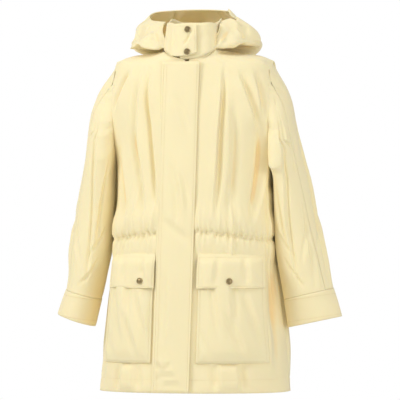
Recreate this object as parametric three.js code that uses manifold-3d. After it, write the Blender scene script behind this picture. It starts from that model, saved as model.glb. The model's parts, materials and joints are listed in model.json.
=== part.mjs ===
// A woman's hooded rain parka, closed, with its hood down, as it hangs from the shoulders.
// Millimetres, +Z up, the front faces -Y, the wearer's left is +X.
// The origin is midway between the two points where the shoulder seams meet the neck.
import * as THREE from 'three';
import { mergeVertices } from 'three/addons/utils/BufferGeometryUtils.js';
import Module from 'manifold-3d';

const wasm = await Module();
wasm.setup();

// ---- Driving dimensions --------------------------------------------------------------------

const coatLength = 772;        // neck point down to the hem
const neckHalf = 65;           // half the width of the neck opening
const neckFrontDrop = 28;
const neckBackDrop = 6;
const armholeHalf = 182;       // half the distance between the armhole seams
const shoulderDrop = 50;
const armpitDrop = 225;
const chestBulge = 31;         // how far the chest would swell past the armhole plane
const underarmTuck = 6;        // how far the side falls in below the armpit
const waistDrop = 422;
const waistHalf = 180;
const hemHalf = 217;
const frontDepthNeck = 88;
const frontDepthHem = 150;
const backDepthNeck = 66;
const backDepthBlade = 130;
const backDepthWaist = 118;
const backDepthHem = 150;
const frontDriftHem = -12;     // the closed front hangs a little towards the wearer's right
const frontFlatness = 0.8;

const panelColumnWidth = 18;   // the facets keep their size when the coat is made larger
const panelRowHeight = 51;

const shellThickness = 2;
const liningThickness = 0.9;
const tapeThickness = 1.1;
const seamGap = 0.4;           // between pieces that are sewn edge to edge
const layerGap = 0.35;         // between layers that lie flat on each other
const looseGap = 0.9;          // between layers that lie loosely on a curve

const placketWidth = 86;
const placketStitchX = -57;    // the stitched edge, on the wearer's right
const placketTopDrop = 32;
const placketRise = 6.6;       // outer face of the placket over the zip

const collarHeightFront = 82;
const collarHeightBack = 62;
const collarLean = 0.1;
const underlapTurn = -15;      // degrees from the front centre to the underlap's end
const tabRootTurn = -36;       // degrees to the fold that the collar tab turns on
const tabTipTurn = 20;
const tabRise = 5.6;
const tabBottomSlope = 12;

const sleeveLength = 405;      // armpit down to the lower edge of the cuff
const cuffHeight = 62;
const cuffThickness = 2.6;
const sleeveLiningDepth = { right: 4.5, left: 3.8 };
const overarmSeamTurn = 42;    // degrees forward of the overarm line
const underarmClearance = 1.6;

const pocketTopDrop = 490;
const pocketBottomDrop = 706;
const pocketInnerX = { right: 62, left: 42 };
const pocketOuterTop = 166;
const pocketSplay = 20;        // how much wider the pocket is at its bottom
const pocketDepth = 8;
const pocketSnapGap = 3.2;     // room for the snap between the pocket and its flap
const pocketMouth = 5;         // how far the cut-out for the hollow runs past the pocket's top
const flapTopDrop = 462;
const flapHeight = 78;
const flapOverhang = 4;        // past the pocket's edge, each side
const snapPocketX = { right: 88, left: 104 };

const capDiameter = 15;
const capThickness = 2.4;
const snapDiameter = 10;
const socketThickness = 1.2;
const studThickness = 1.0;
const snapSpacing = 50;

const zipGap = 2.4;            // between the two rows of teeth
const zipToothWidth = 3;
const zipTapeWidth = 14;
const zipTopDrop = 44;
const zipBottomDrop = 744;
const stopLength = 3;
const retainerLength = 12;
const sliderLength = 10;
const pullLength = 24;
const pullWidth = 7;
const pullThickness = 1.5;

const casingHeight = 28;
const elasticHeight = 16;
const facingWidth = 56;

// ---- Materials -----------------------------------------------------------------------------

function finish(color, roughness, metalness = 0) {
  return new THREE.MeshStandardMaterial({ color, roughness, metalness });
}

const shellCloth = finish(0xf1e2b0, 0.8);
const liningCloth = finish(0xe8dcbc, 0.7);
const zipCloth = finish(0xe9dba9, 0.85);
const toothPlastic = finish(0xe4d39a, 0.4);
const brass = finish(0x8f7a45, 0.38, 0.9);
const elasticWeb = finish(0xf0ead8, 0.9);
const labelCloth = finish(0xf4f1e6, 0.7);

// ---- Small tools ---------------------------------------------------------------------------

const coat = new THREE.Group();
const { lerp, degToRad, clamp } = THREE.MathUtils;
const vector = (x, y, z) => new THREE.Vector3(x, y, z);

function add(name, geometry, material, parent = coat) {
  const mesh = new THREE.Mesh(geometry, material);
  mesh.name = name;
  parent.add(mesh);
  return mesh;
}

// A smooth curve through [position, value] knots that never overshoots them.
function profile(knots) {
  const slopes = knots.map((knot, i) => {
    if (i === 0 || i === knots.length - 1) return 0;
    const before = (knot[1] - knots[i - 1][1]) / (knot[0] - knots[i - 1][0]);
    const after = (knots[i + 1][1] - knot[1]) / (knots[i + 1][0] - knot[0]);
    return before * after > 0 ? (2 * before * after) / (before + after) : 0;
  });
  return (position) => {
    let i = 0;
    while (i < knots.length - 2 && position > knots[i + 1][0]) i += 1;
    const [start, startValue] = knots[i];
    const [end, endValue] = knots[i + 1];
    const span = end - start;
    const t = clamp((position - start) / span, 0, 1);
    const blend = t * t * (3 - 2 * t);
    return lerp(startValue, endValue, blend)
      + span * (t * (1 - t) ** 2 * slopes[i] - t * t * (1 - t) * slopes[i + 1]);
  };
}

// The unit normal of a surface whose u runs to the right and v upwards as seen from outside.
function normalOf(surface, u, v) {
  const step = 0.002;
  const across = surface(Math.min(u + step, 1), v).sub(surface(Math.max(u - step, 0), v));
  const up = surface(u, Math.min(v + step, 1)).sub(surface(u, Math.max(v - step, 0)));
  return across.cross(up).normalize();
}

// The same surface moved outwards by a distance, or inwards by a negative one.
function raised(surface, distance) {
  const rise = typeof distance === 'function' ? distance : () => distance;
  return (u, v) => surface(u, v).addScaledVector(normalOf(surface, u, v), rise(u, v));
}

// A part of a surface, between two shares of its width and two shares of its height.
function partOf(surface, [left, right], [low, high]) {
  return (u, v) => surface(lerp(left, right, u), lerp(low, high, v));
}

// A closed sheet of cloth: the surface, its copy moved inwards, and the edges between them.
function sheet(surface, columns, rows, thickness, { ring = false, hold = (point) => point } = {}) {
  const inner = raised(surface, -thickness);
  const wide = ring ? columns : columns + 1;
  const corners = [];
  for (const face of [surface, inner]) {
    for (let j = 0; j <= rows; j += 1) {
      for (let i = 0; i < wide; i += 1) corners.push(...hold(face(i / columns, j / rows)).toArray());
    }
  }
  const layer = wide * (rows + 1);
  const at = (i, j, depth) => depth * layer + j * wide + (i % wide);
  const faces = [];
  const quad = (a, b, c, d) => faces.push(a, b, c, a, c, d);
  for (let j = 0; j < rows; j += 1) {
    for (let i = 0; i < columns; i += 1) {
      quad(at(i, j, 0), at(i + 1, j, 0), at(i + 1, j + 1, 0), at(i, j + 1, 0));
      quad(at(i, j, 1), at(i, j + 1, 1), at(i + 1, j + 1, 1), at(i + 1, j, 1));
    }
  }
  for (let i = 0; i < columns; i += 1) {
    quad(at(i, 0, 0), at(i, 0, 1), at(i + 1, 0, 1), at(i + 1, 0, 0));
    quad(at(i, rows, 0), at(i + 1, rows, 0), at(i + 1, rows, 1), at(i, rows, 1));
  }
  for (let j = 0; j < rows && !ring; j += 1) {
    quad(at(0, j, 0), at(0, j + 1, 0), at(0, j + 1, 1), at(0, j, 1));
    quad(at(columns, j, 0), at(columns, j, 1), at(columns, j + 1, 1), at(columns, j + 1, 0));
  }
  const geometry = new THREE.BufferGeometry();
  geometry.setAttribute('position', new THREE.Float32BufferAttribute(corners, 3));
  geometry.setIndex(faces);
  geometry.computeVertexNormals();
  return geometry;
}

function toSolid(geometry) {
  const bare = geometry.clone();
  bare.deleteAttribute('normal');
  bare.deleteAttribute('uv');
  const merged = mergeVertices(bare);
  return new wasm.Manifold(new wasm.Mesh({
    numProp: 3,
    vertProperties: Float32Array.from(merged.attributes.position.array),
    triVerts: Uint32Array.from(merged.index.array),
  }));
}

function fromSolid(solid) {
  const mesh = solid.getMesh();
  const geometry = new THREE.BufferGeometry();
  geometry.setAttribute('position', new THREE.BufferAttribute(mesh.vertProperties, 3));
  geometry.setIndex(new THREE.BufferAttribute(mesh.triVerts, 1));
  geometry.computeVertexNormals();
  return geometry;
}

// A round metal snap part, its axis along the given normal, its seat at the given point.
function snapDisc(diameter, thickness, crown, point, normal) {
  const rounding = Math.min(thickness * 0.4, 0.6);
  const outline = [
    new THREE.Vector2(0, 0),
    new THREE.Vector2(diameter / 2, 0),
    new THREE.Vector2(diameter / 2, thickness - rounding),
    new THREE.Vector2(diameter / 2 - rounding * 1.5, thickness),
    new THREE.Vector2(diameter / 5, thickness - crown),
    new THREE.Vector2(0, thickness - crown),
  ];
  const geometry = new THREE.LatheGeometry(outline, 16);
  geometry.applyQuaternion(new THREE.Quaternion().setFromUnitVectors(vector(0, 1, 0), normal));
  geometry.translate(point.x, point.y, point.z);
  return geometry;
}

// ---- The body of the coat ------------------------------------------------------------------

const shoulderZ = -shoulderDrop;
const armpitZ = -armpitDrop;
const waistZ = -waistDrop;
const hemZ = -coatLength;

const sideHalf = profile([
  [hemZ, hemHalf],
  [lerp(hemZ, waistZ, 0.5), lerp(hemHalf, waistHalf, 0.42)],
  [waistZ, waistHalf],
  [lerp(waistZ, armpitZ, 0.8), armholeHalf - underarmTuck],
  [armpitZ, armholeHalf],
  [lerp(armpitZ, shoulderZ, 0.45), armholeHalf + chestBulge],
  [shoulderZ, armholeHalf],
]);

// Half the width of the coat's section at a height; above the shoulder tip it follows the slope.
function halfWidth(z) {
  if (z <= shoulderZ) return sideHalf(z);
  return lerp(neckHalf, armholeHalf, Math.max(-z, 0) / shoulderDrop);
}

// Half the width of the cloth at a height, where the armhole cuts it off above the armpit.
function clothHalf(z) {
  return z > armpitZ ? armholeHalf : sideHalf(z);
}

const frontShare = (z) => (z + neckFrontDrop) / (hemZ + neckFrontDrop);
const frontDepth = (z) => lerp(frontDepthNeck, frontDepthHem, frontShare(z));
const frontDrift = (z) => frontDriftHem * frontShare(z);
const backDepth = profile([
  [hemZ, backDepthHem],
  [waistZ, backDepthWaist],
  [lerp(armpitZ, waistZ, 0.2), backDepthBlade],
  [lerp(armpitZ, shoulderZ, 0.6), backDepthBlade - 6],
  [shoulderZ, lerp(backDepthNeck, backDepthBlade, 0.55)],
  [0, backDepthNeck],
]);

// A point on the body. The turn is 0 at the front centre and a right angle at the wearer's left.
function aroundBody(turn, z) {
  const facing = Math.cos(turn);
  const depth = Math.abs(facing) ** frontFlatness;
  if (facing > 0) {
    const x = halfWidth(z) * Math.sin(turn) + frontDrift(z) * facing ** 3;
    return vector(x, -frontDepth(z) * depth - seamGap / 2, z);
  }
  return vector(halfWidth(z) * Math.sin(turn), backDepth(z) * depth + seamGap / 2, z);
}

const turnAt = (x, z) => Math.asin(clamp(x / halfWidth(z), -1, 1));

// Height of the panel's top edge at a distance from the centre: the neckline, then the shoulder.
function topEdge(x, neckDrop) {
  if (x < neckHalf) return -neckDrop * (1 - (x / neckHalf) ** 2.2);
  return (-shoulderDrop * (x - neckHalf)) / (armholeHalf - neckHalf);
}

// One quarter of the body, from its centre edge to its side seam and from hem to shoulder.
function bodyPanel(side, isBack, centreX) {
  return (u, v) => {
    const reach = Math.sin((((side > 0) !== isBack ? u : 1 - u) * Math.PI) / 2);
    const neckDrop = isBack ? neckBackDrop : neckFrontDrop;
    const top = topEdge(lerp(centreX, armholeHalf, reach), neckDrop);
    const z = lerp(hemZ, top, 1 - (1 - v) ** 1.7);
    const turn = turnAt(lerp(centreX, clothHalf(z), reach), z);
    return aroundBody(side * (isBack ? Math.PI - turn : turn), z);
  };
}

// A patch of the front, between two distances from the centre and two heights.
function frontPatch(side, innerX, outerX, lowZ, highZ) {
  return (u, v) => {
    const z = lerp(lowZ, highZ, v);
    const share = side > 0 ? u : 1 - u;
    const outer = typeof outerX === 'function' ? outerX(z) : outerX;
    return aroundBody(side * turnAt(lerp(innerX, outer, share), z), z);
  };
}

const zipEdge = zipGap / 2 + zipToothWidth;
const panelEdge = zipEdge + seamGap;
const tapeLayer = -(shellThickness + looseGap);
const facingLayer = tapeLayer - tapeThickness - looseGap;
const liningLayer = facingLayer - liningThickness - 2 * looseGap;
const sides = [[-1, 'right'], [1, 'left']];
const keepFront = { hold: (point) => point.setY(Math.min(point.y, -seamGap / 2)) };
const keepBack = { hold: (point) => point.setY(Math.max(point.y, seamGap / 2)) };

const panelColumns = Math.round(armholeHalf / panelColumnWidth);
const panelRows = Math.round(coatLength / panelRowHeight);
for (const [side, name] of sides) {
  const front = bodyPanel(side, false, panelEdge);
  const back = bodyPanel(side, true, seamGap / 2);
  const frontSheet = sheet(front, panelColumns, panelRows, shellThickness, keepFront);
  const backSheet = sheet(back, panelColumns, panelRows, shellThickness, keepBack);
  add(`front_${name}_panel`, frontSheet, shellCloth);
  add(`back_${name}_panel`, backSheet, shellCloth);

  const liningIn = panelEdge + facingWidth + seamGap;
  const frontLining = partOf(bodyPanel(side, false, liningIn), [0, 1], [0.05, 0.88]);
  const backLining = partOf(bodyPanel(side, true, seamGap), [0, 1], [0.05, 0.88]);
  const innerFront = sheet(raised(frontLining, liningLayer), 8, 12, liningThickness, keepFront);
  const innerBack = sheet(raised(backLining, liningLayer), 8, 12, liningThickness, keepBack);
  add(`front_${name}_lining`, innerFront, liningCloth);
  add(`back_${name}_lining`, innerBack, liningCloth);

  const facing = frontPatch(side, panelEdge + 1, panelEdge + facingWidth, hemZ + 2, -neckFrontDrop - 12);
  add(`front_${name}_facing`, sheet(raised(facing, facingLayer), 3, 12, liningThickness), shellCloth);
}

// ---- The waist casing and the elastic inside it --------------------------------------------

// A band inside the body that runs round the back from one front edge to the other.
function waistBand(height, frontX, layer, thickness) {
  const startTurn = turnAt(frontX, waistZ);
  const band = (u, v) => aroundBody(
    lerp(startTurn, 2 * Math.PI - startTurn, u),
    waistZ + height * (v - 0.5),
  );
  return sheet(raised(band, layer), 40, 1, thickness);
}

const casingFrontX = panelEdge + facingWidth + 2;
add('waist_elastic', waistBand(elasticHeight, casingFrontX + 4, tapeLayer, tapeThickness), elasticWeb);
add('waist_casing', waistBand(casingHeight, casingFrontX, facingLayer, liningThickness), liningCloth);

// ---- The front zip --------------------------------------------------------------------------

const frontPoint = (z) => vector(frontDrift(z), -frontDepth(z) - seamGap / 2, z);
const zipTop = frontPoint(-zipTopDrop);
const zipBottom = frontPoint(-zipBottomDrop);
const zipDirection = zipTop.clone().sub(zipBottom).normalize();
const zipNormal = vector(1, 0, 0).cross(zipDirection).normalize();
const zipAcross = zipDirection.clone().cross(zipNormal);

// A straight bar along the front line: a section in (across, outwards), from one end to the other.
function frontBar(section, start, length) {
  const shape = new THREE.Shape(section.map(([x, y]) => new THREE.Vector2(x, y)));
  const geometry = new THREE.ExtrudeGeometry(shape, { depth: length, bevelEnabled: false, steps: 1 });
  const basis = new THREE.Matrix4().makeBasis(zipAcross, zipNormal, zipAcross.clone().cross(zipNormal));
  geometry.applyMatrix4(basis);
  geometry.translate(start.x, start.y, start.z);
  return geometry;
}

const barDown = zipAcross.clone().cross(zipNormal).z < 0;
const barStart = (from, length) => (barDown ? from : from.clone().addScaledVector(zipDirection, -length));
const rectangle = (left, right, low, high) => [[left, low], [right, low], [right, high], [left, high]];
const zipLength = zipTop.distanceTo(zipBottom);
const toothTop = -0.2;
const toothBottom = -2.6;

for (const [side, name] of sides) {
  const edges = (inner, outer) => [side * inner, side * outer].sort((a, b) => a - b);
  const row = rectangle(...edges(zipGap / 2, zipEdge), toothBottom, toothTop);
  add(`zip_teeth_${name}`, frontBar(row, barStart(zipTop, zipLength), zipLength), toothPlastic);
  const tape = frontPatch(side, panelEdge, panelEdge + zipTapeWidth, -zipBottomDrop - 6, -zipTopDrop + 8);
  add(`zip_tape_${name}`, sheet(raised(tape, tapeLayer), 2, 12, tapeThickness), zipCloth);
  const stopTop = zipTop.clone().addScaledVector(zipDirection, seamGap + stopLength);
  const stop = rectangle(...edges(zipGap / 2, zipEdge), toothBottom, 0.4);
  add(`zip_top_stop_${name}`, frontBar(stop, barStart(stopTop, stopLength), stopLength), brass);
}
const boxTop = zipBottom.clone().addScaledVector(zipDirection, -seamGap);
const boxSection = rectangle(-zipEdge, zipEdge, toothBottom - 0.6, 0.6);
add('zip_retainer_box', frontBar(boxSection, barStart(boxTop, retainerLength), retainerLength), brass);

const plateHalf = zipEdge + 1;
const webHalf = zipGap / 2 - 0.35;
const plateLow = 0.35;
const plateHigh = 1.6;
const backHalf = zipEdge - 0.2;
const backHigh = toothBottom - 0.35;
const backLow = backHigh - 1.1;
const sliderSection = [
  [-backHalf, backLow], [backHalf, backLow], [backHalf, backHigh], [webHalf, backHigh],
  [webHalf, plateLow], [plateHalf, plateLow], [plateHalf, plateHigh], [-plateHalf, plateHigh],
  [-plateHalf, plateLow], [-webHalf, plateLow], [-webHalf, backHigh], [-backHalf, backHigh],
];
const sliderTop = zipTop.clone().addScaledVector(zipDirection, -1);
add('zip_slider', frontBar(sliderSection, barStart(sliderTop, sliderLength), sliderLength), brass);

const pullTop = sliderTop.clone().addScaledVector(zipDirection, -sliderLength / 3);
const pullLow = plateHigh + layerGap;
const pullSection = rectangle(-pullWidth / 2, pullWidth / 2, pullLow, pullLow + pullThickness);
add('zip_pull', frontBar(pullSection, barStart(pullTop, pullLength), pullLength), brass);

// ---- The storm placket over the zip ----------------------------------------------------------

const placketRiseAt = profile([[0, shellThickness + 2 * looseGap], [0.3, placketRise], [0.8, placketRise],
  [1, placketRise - 1.2]]);
const placketFace = (u, v) => {
  const z = lerp(hemZ, -placketTopDrop, v);
  const x = placketStitchX + placketWidth * u;
  return aroundBody(turnAt(x, z), z);
};
add('placket', sheet(raised(placketFace, (u) => placketRiseAt(u)), 8, 14, shellThickness), shellCloth);

// ---- The collar ------------------------------------------------------------------------------

// The neckline of the panels, by turn round the neck, with the collar's own seam gap above it.
function neckline(turn) {
  const x = neckHalf * Math.sin(turn);
  const isFront = Math.cos(turn) > 0;
  const z = topEdge(Math.min(Math.abs(x), neckHalf - 0.01), isFront ? neckFrontDrop : neckBackDrop);
  const bodyTurn = turnAt(x, z);
  return aroundBody(isFront ? bodyTurn : Math.PI - bodyTurn, z);
}

function collarPoint(turn, rise) {
  const base = neckline(turn);
  const height = lerp(collarHeightFront, collarHeightBack, (1 - Math.cos(turn)) / 2);
  const lean = 1 - collarLean * rise;
  return vector(base.x * lean, base.y * lean, base.z + 1.6 * looseGap + height * rise);
}

function collarPart(fromDegrees, toDegrees, low = 0, high = 1) {
  return (u, v) => collarPoint(degToRad(lerp(fromDegrees, toDegrees, u)), lerp(low, high, v));
}

add('collar_stand', sheet(collarPart(underlapTurn, 360 + tabRootTurn), 56, 3, shellThickness), shellCloth);

const tabFace = (u, v) => {
  const turn = degToRad(lerp(tabRootTurn, tabTipTurn, u));
  const low = (u * tabBottomSlope) / collarHeightFront;
  return collarPoint(turn, lerp(low, 0.97, v));
};
const tabRiseAt = profile([[0, shellThickness + looseGap], [0.4, tabRise], [1, tabRise]]);
const tabSurface = raised(tabFace, (u) => tabRiseAt(u));
add('collar_tab', sheet(tabSurface, 12, 3, shellThickness), shellCloth);

// One snap: the cap and socket on the piece that opens, the stud on the piece under it.
function addSnap(name, outer, outerSpot, under, underSpot) {
  const normal = normalOf(outer, ...outerSpot);
  const seat = outer(...outerSpot);
  const capSeat = seat.clone().addScaledVector(normal, layerGap);
  add(`${name}_cap`, snapDisc(capDiameter, capThickness, 0.7, capSeat, normal), brass);
  const socketSeat = seat.clone().addScaledVector(normal, -shellThickness - layerGap - socketThickness);
  add(`${name}_socket`, snapDisc(snapDiameter, socketThickness, 0, socketSeat, normal), brass);
  const underNormal = normalOf(under, ...underSpot);
  const studSeat = under(...underSpot).addScaledVector(underNormal, layerGap - 0.1);
  add(`${name}_stud`, snapDisc(snapDiameter - 1, studThickness, 0, studSeat, underNormal), brass);
}

const tabSnapShare = 0.66;
const tabSnapTurn = lerp(tabRootTurn, tabTipTurn, tabSnapShare);
const standFront = collarPart(underlapTurn, 45);
const standShare = (tabSnapTurn - underlapTurn) / (45 - underlapTurn);
for (const [name, height] of [['upper', 0.5 + snapSpacing / 2 / collarHeightFront],
  ['lower', 0.5 - snapSpacing / 2 / collarHeightFront]]) {
  const low = (tabSnapShare * tabBottomSlope) / collarHeightFront;
  const tabHeight = (height - low) / (0.97 - low);
  addSnap(`collar_${name}_snap`, tabSurface, [tabSnapShare, tabHeight], standFront, [standShare, height]);
}

// ---- The hood, pushed back off the head --------------------------------------------------------

// Stations by degrees from the back centre. Each is a line of [radius, height] points, from the
// neck seam out under the hood, up its outside and over to the rim of its opening.
const hoodStations = [
  { from: 0, line: [[122, -36], [172, -10], [168, 58], [122, 96]] },
  { from: 45, line: [[124, -20], [166, 0], [158, 56], [116, 90]] },
  { from: 75, line: [[114, -2], [148, 6], [138, 48], [104, 70]] },
  { from: 105, line: [[108, 0], [138, 8], [122, 38], [96, 47]] },
  { from: 148, line: [[104, -12], [114, 4], [108, 24], [98, 22]] },
];
const hoodSeamRise = 0.05;
const hoodLineAt = [0, 1, 2, 3].map((k) => [0, 1].map((axis) => profile(
  hoodStations.map(({ from, line }) => [from, line[k][axis]]),
)));

function hoodPoint(turn, share) {
  const fromBack = THREE.MathUtils.radToDeg(Math.abs(Math.PI - turn));
  const seam = collarPoint(turn, hoodSeamRise);
  const outward = vector(Math.sin(turn), -Math.cos(turn), 0);
  const start = seam.addScaledVector(outward, 2 * layerGap);
  const points = hoodLineAt.map(([radiusAt, heightAt]) => {
    const radius = radiusAt(fromBack);
    return outward.clone().multiplyScalar(radius).setZ(heightAt(fromBack));
  });
  return new THREE.CatmullRomCurve3([start, ...points], false, 'centripetal').getPoint(share);
}

function hoodPart(fromDegrees, toDegrees) {
  return (u, v) => hoodPoint(degToRad(lerp(fromDegrees, toDegrees, u)), v);
}

const gussetTurn = 24;
const rollTurn = 72;
const rollEndTurn = 141;
const seamDegrees = 0.25;
const hoodPieces = [
  ['hood_left_roll', 180 - rollEndTurn, 180 - rollTurn - 1, 10],
  ['hood_left_side', 180 - rollTurn, 180 - gussetTurn - seamDegrees, 7],
  ['hood_centre', 180 - gussetTurn, 180 + gussetTurn, 7],
  ['hood_right_side', 180 + gussetTurn + seamDegrees, 180 + rollTurn, 7],
  ['hood_right_roll', 180 + rollTurn + 1, 180 + rollEndTurn, 10],
];
for (const [name, from, to, columns] of hoodPieces) {
  add(name, sheet(hoodPart(from, to), columns, 10, shellThickness), shellCloth);
}

// ---- The sleeves -------------------------------------------------------------------------------

// Each station: share of the underarm line, then the width across, its tilt in degrees from
// level, and the depth front to back. The first is the armhole itself.
const sleeveStations = {
  left: [[0.08, 146, 79, 132], [0.2, 118, 66, 130], [0.34, 104, 47, 122], [0.5, 107, 30, 110],
    [0.66, 113, 21, 98], [0.8, 115, 14, 88], [1, 126, 12, 72]],
  right: [[0.08, 146, 79, 132], [0.2, 118, 66, 130], [0.34, 102, 46, 126], [0.5, 101, 30, 122],
    [0.66, 96, 21, 118], [0.8, 82, 15, 116], [1, 90, 19, 112]],
};
const cuffStandOff = { left: 7, right: 27 };
const armholeHeight = armpitDrop - shoulderDrop;
const armholeDepth = 2 * -aroundBody(turnAt(armholeHalf, lerp(armpitZ, shoulderZ, 0.5)),
  lerp(armpitZ, shoulderZ, 0.5)).y;
const sleeveX = armholeHalf + seamGap;

// A point on a sleeve: turn 0 is the overarm line and a right angle is the front of the sleeve.
function sleevePoint(side, name, turn, share) {
  const stations = [[0, armholeHeight - 1, 90, armholeDepth], ...sleeveStations[name]];
  const at = (k) => profile(stations.map((station) => [station[0], station[k]]))(share);
  const underZ = armpitZ - sleeveLength * share + 1;
  const fromBody = Math.max(sleeveX, sideHalf(underZ) + underarmClearance);
  const underX = share === 0 ? sleeveX : fromBody + cuffStandOff[name] * share ** 2;
  const tilt = degToRad(at(2));
  const half = at(1) / 2;
  const across = half * (1 + Math.cos(turn));
  const x = underX + across * Math.cos(tilt);
  const z = underZ + across * Math.sin(tilt);
  return vector(side * x, -(at(3) / 2) * Math.sin(turn), z);
}

// A length of sleeve between two turns and two shares of the way down, as a surface.
function sleevePart(side, name, [fromDegrees, toDegrees], [topShare, lowShare]) {
  return (u, v) => {
    const degrees = side > 0 ? lerp(toDegrees, fromDegrees, u) : lerp(fromDegrees, toDegrees, u);
    return sleevePoint(side, name, degToRad(degrees), lerp(lowShare, topShare, v));
  };
}

for (const [side, name] of sides) {
  const hold = (point) => point.setX(side * Math.max(side * point.x, sleeveX));
  const cuffTop = 1 - cuffHeight / sleeveLength;
  const seamShare = seamGap / sleeveLength;
  const seam = 0.35;
  const panelSpan = [0, cuffTop - seamShare];
  const front = sleevePart(side, name, [overarmSeamTurn, 180 - seam], panelSpan);
  const back = sleevePart(side, name, [180 + seam, 360 + overarmSeamTurn - 2 * seam], panelSpan);
  add(`sleeve_${name}_front`, sheet(front, 9, 14, shellThickness, { hold }), shellCloth);
  add(`sleeve_${name}_back`, sheet(back, 12, 14, shellThickness, { hold }), shellCloth);
  const cuff = sleevePart(side, name, [0, 360], [cuffTop, 1]);
  add(`cuff_${name}`, sheet(raised(cuff, 0.5), 24, 2, cuffThickness, { ring: true }), shellCloth);
  const tube = sleevePart(side, name, [0, 360], [0.03, cuffTop - 0.02]);
  const lining = raised(tube, -sleeveLiningDepth[name]);
  add(`sleeve_${name}_lining`, sheet(lining, 16, 9, liningThickness, { ring: true, hold }), liningCloth);
}

// ---- The pockets and their flaps -----------------------------------------------------------------

const pocketOuterAt = (z) => pocketOuterTop
  + (pocketSplay * (-z - pocketTopDrop)) / (pocketBottomDrop - pocketTopDrop);

for (const [side, name] of sides) {
  const face = (margin, low, high) => frontPatch(side, pocketInnerX[name] + margin,
    (z) => pocketOuterAt(z) - margin, low, high);
  const outerRise = looseGap + pocketDepth + shellThickness;
  const block = sheet(raised(face(0, -pocketBottomDrop, -pocketTopDrop), outerRise), 8, 4,
    pocketDepth + shellThickness);
  const innerFace = face(shellThickness, shellThickness - pocketBottomDrop, pocketMouth - pocketTopDrop);
  const hollow = sheet(raised(innerFace, outerRise - shellThickness), 8, 4, pocketDepth + 3);
  const pocket = toSolid(block).subtract(toSolid(hollow));
  add(`pocket_${name}`, fromSolid(pocket), shellCloth);

  const flapLow = -flapTopDrop - flapHeight;
  const flapInnerX = pocketInnerX[name] - flapOverhang;
  const flapOuterX = pocketOuterTop + flapOverhang;
  const flapFace = frontPatch(side, flapInnerX, flapOuterX, flapLow, -flapTopDrop);
  const flapFull = outerRise + pocketSnapGap + shellThickness;
  const flapSeat = shellThickness + 1.3 * looseGap;
  const flapRise = profile([[0, flapFull], [0.7, flapFull], [0.98, flapSeat], [1, flapSeat]]);
  const flap = raised(flapFace, (u, v) => flapRise(v));
  add(`pocket_flap_${name}`, sheet(flap, 10, 8, shellThickness), shellCloth);

  const across = (snapPocketX[name] - flapInnerX) / (flapOuterX - flapInnerX);
  const up = 0.2;
  const pocketFace = raised(face(0, -pocketBottomDrop, -pocketTopDrop), outerRise);
  const snapZ = lerp(flapLow, -flapTopDrop, up);
  const pocketAcross = (snapPocketX[name] - pocketInnerX[name]) / (pocketOuterAt(snapZ) - pocketInnerX[name]);
  const pocketUp = (snapZ + pocketBottomDrop) / (pocketBottomDrop - pocketTopDrop);
  const share = (value) => (side > 0 ? value : 1 - value);
  addSnap(`pocket_${name}_snap`, flap, [share(across), up], pocketFace, [share(pocketAcross), pocketUp]);
}

// ---- Inside the neck -----------------------------------------------------------------------------

const labelFace = (u, v) => {
  const turn = Math.PI + degToRad(lerp(-13, 13, u));
  return collarPoint(turn, lerp(0.12, 0.5, v));
};
add('neck_label', sheet(raised(labelFace, -shellThickness - layerGap), 6, 2, 0.6), labelCloth);

// The loop is sewn to the inside of the collar's base at both ends and hangs between them.
const loopTurn = 27;
const loopDrop = 22;
const loopWidth = 7;
const loopThickness = 2;
const loopEnds = [-1, 1].map((end) => {
  const spot = (u, v) => collarPoint(Math.PI + degToRad(lerp(-1, 1, u) + end * loopTurn), v);
  return raised(spot, -shellThickness - looseGap - loopThickness / 2)(0.5, 0.07);
});
const loopMiddle = loopEnds[0].clone().lerp(loopEnds[1], 0.5).add(vector(0, 4, -loopDrop));
const loopPath = new THREE.CatmullRomCurve3([
  loopEnds[0],
  loopEnds[0].clone().lerp(loopMiddle, 0.3).add(vector(0, -1, -loopDrop * 0.4)),
  loopMiddle,
  loopEnds[1].clone().lerp(loopMiddle, 0.3).add(vector(0, -1, -loopDrop * 0.4)),
  loopEnds[1],
]);
const loopSection = rectangle(-loopThickness / 2, loopThickness / 2, -loopWidth / 2, loopWidth / 2);
add('hanger_loop', new THREE.ExtrudeGeometry(
  new THREE.Shape(loopSection.map(([x, y]) => new THREE.Vector2(x, y))),
  { steps: 14, bevelEnabled: false, extrudePath: loopPath },
), shellCloth);

export default coat;
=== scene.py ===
"""The looks of a pale yellow hooded rain parka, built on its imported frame. Metres, +Z up, the front
faces -Y and the wearer's left is +X, as in the frame."""

import json
import math

import bmesh
import bpy
import numpy as np
from mathutils import Matrix, Vector, noise
from mathutils.bvhtree import BVHTree
from mathutils.kdtree import KDTree


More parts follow.
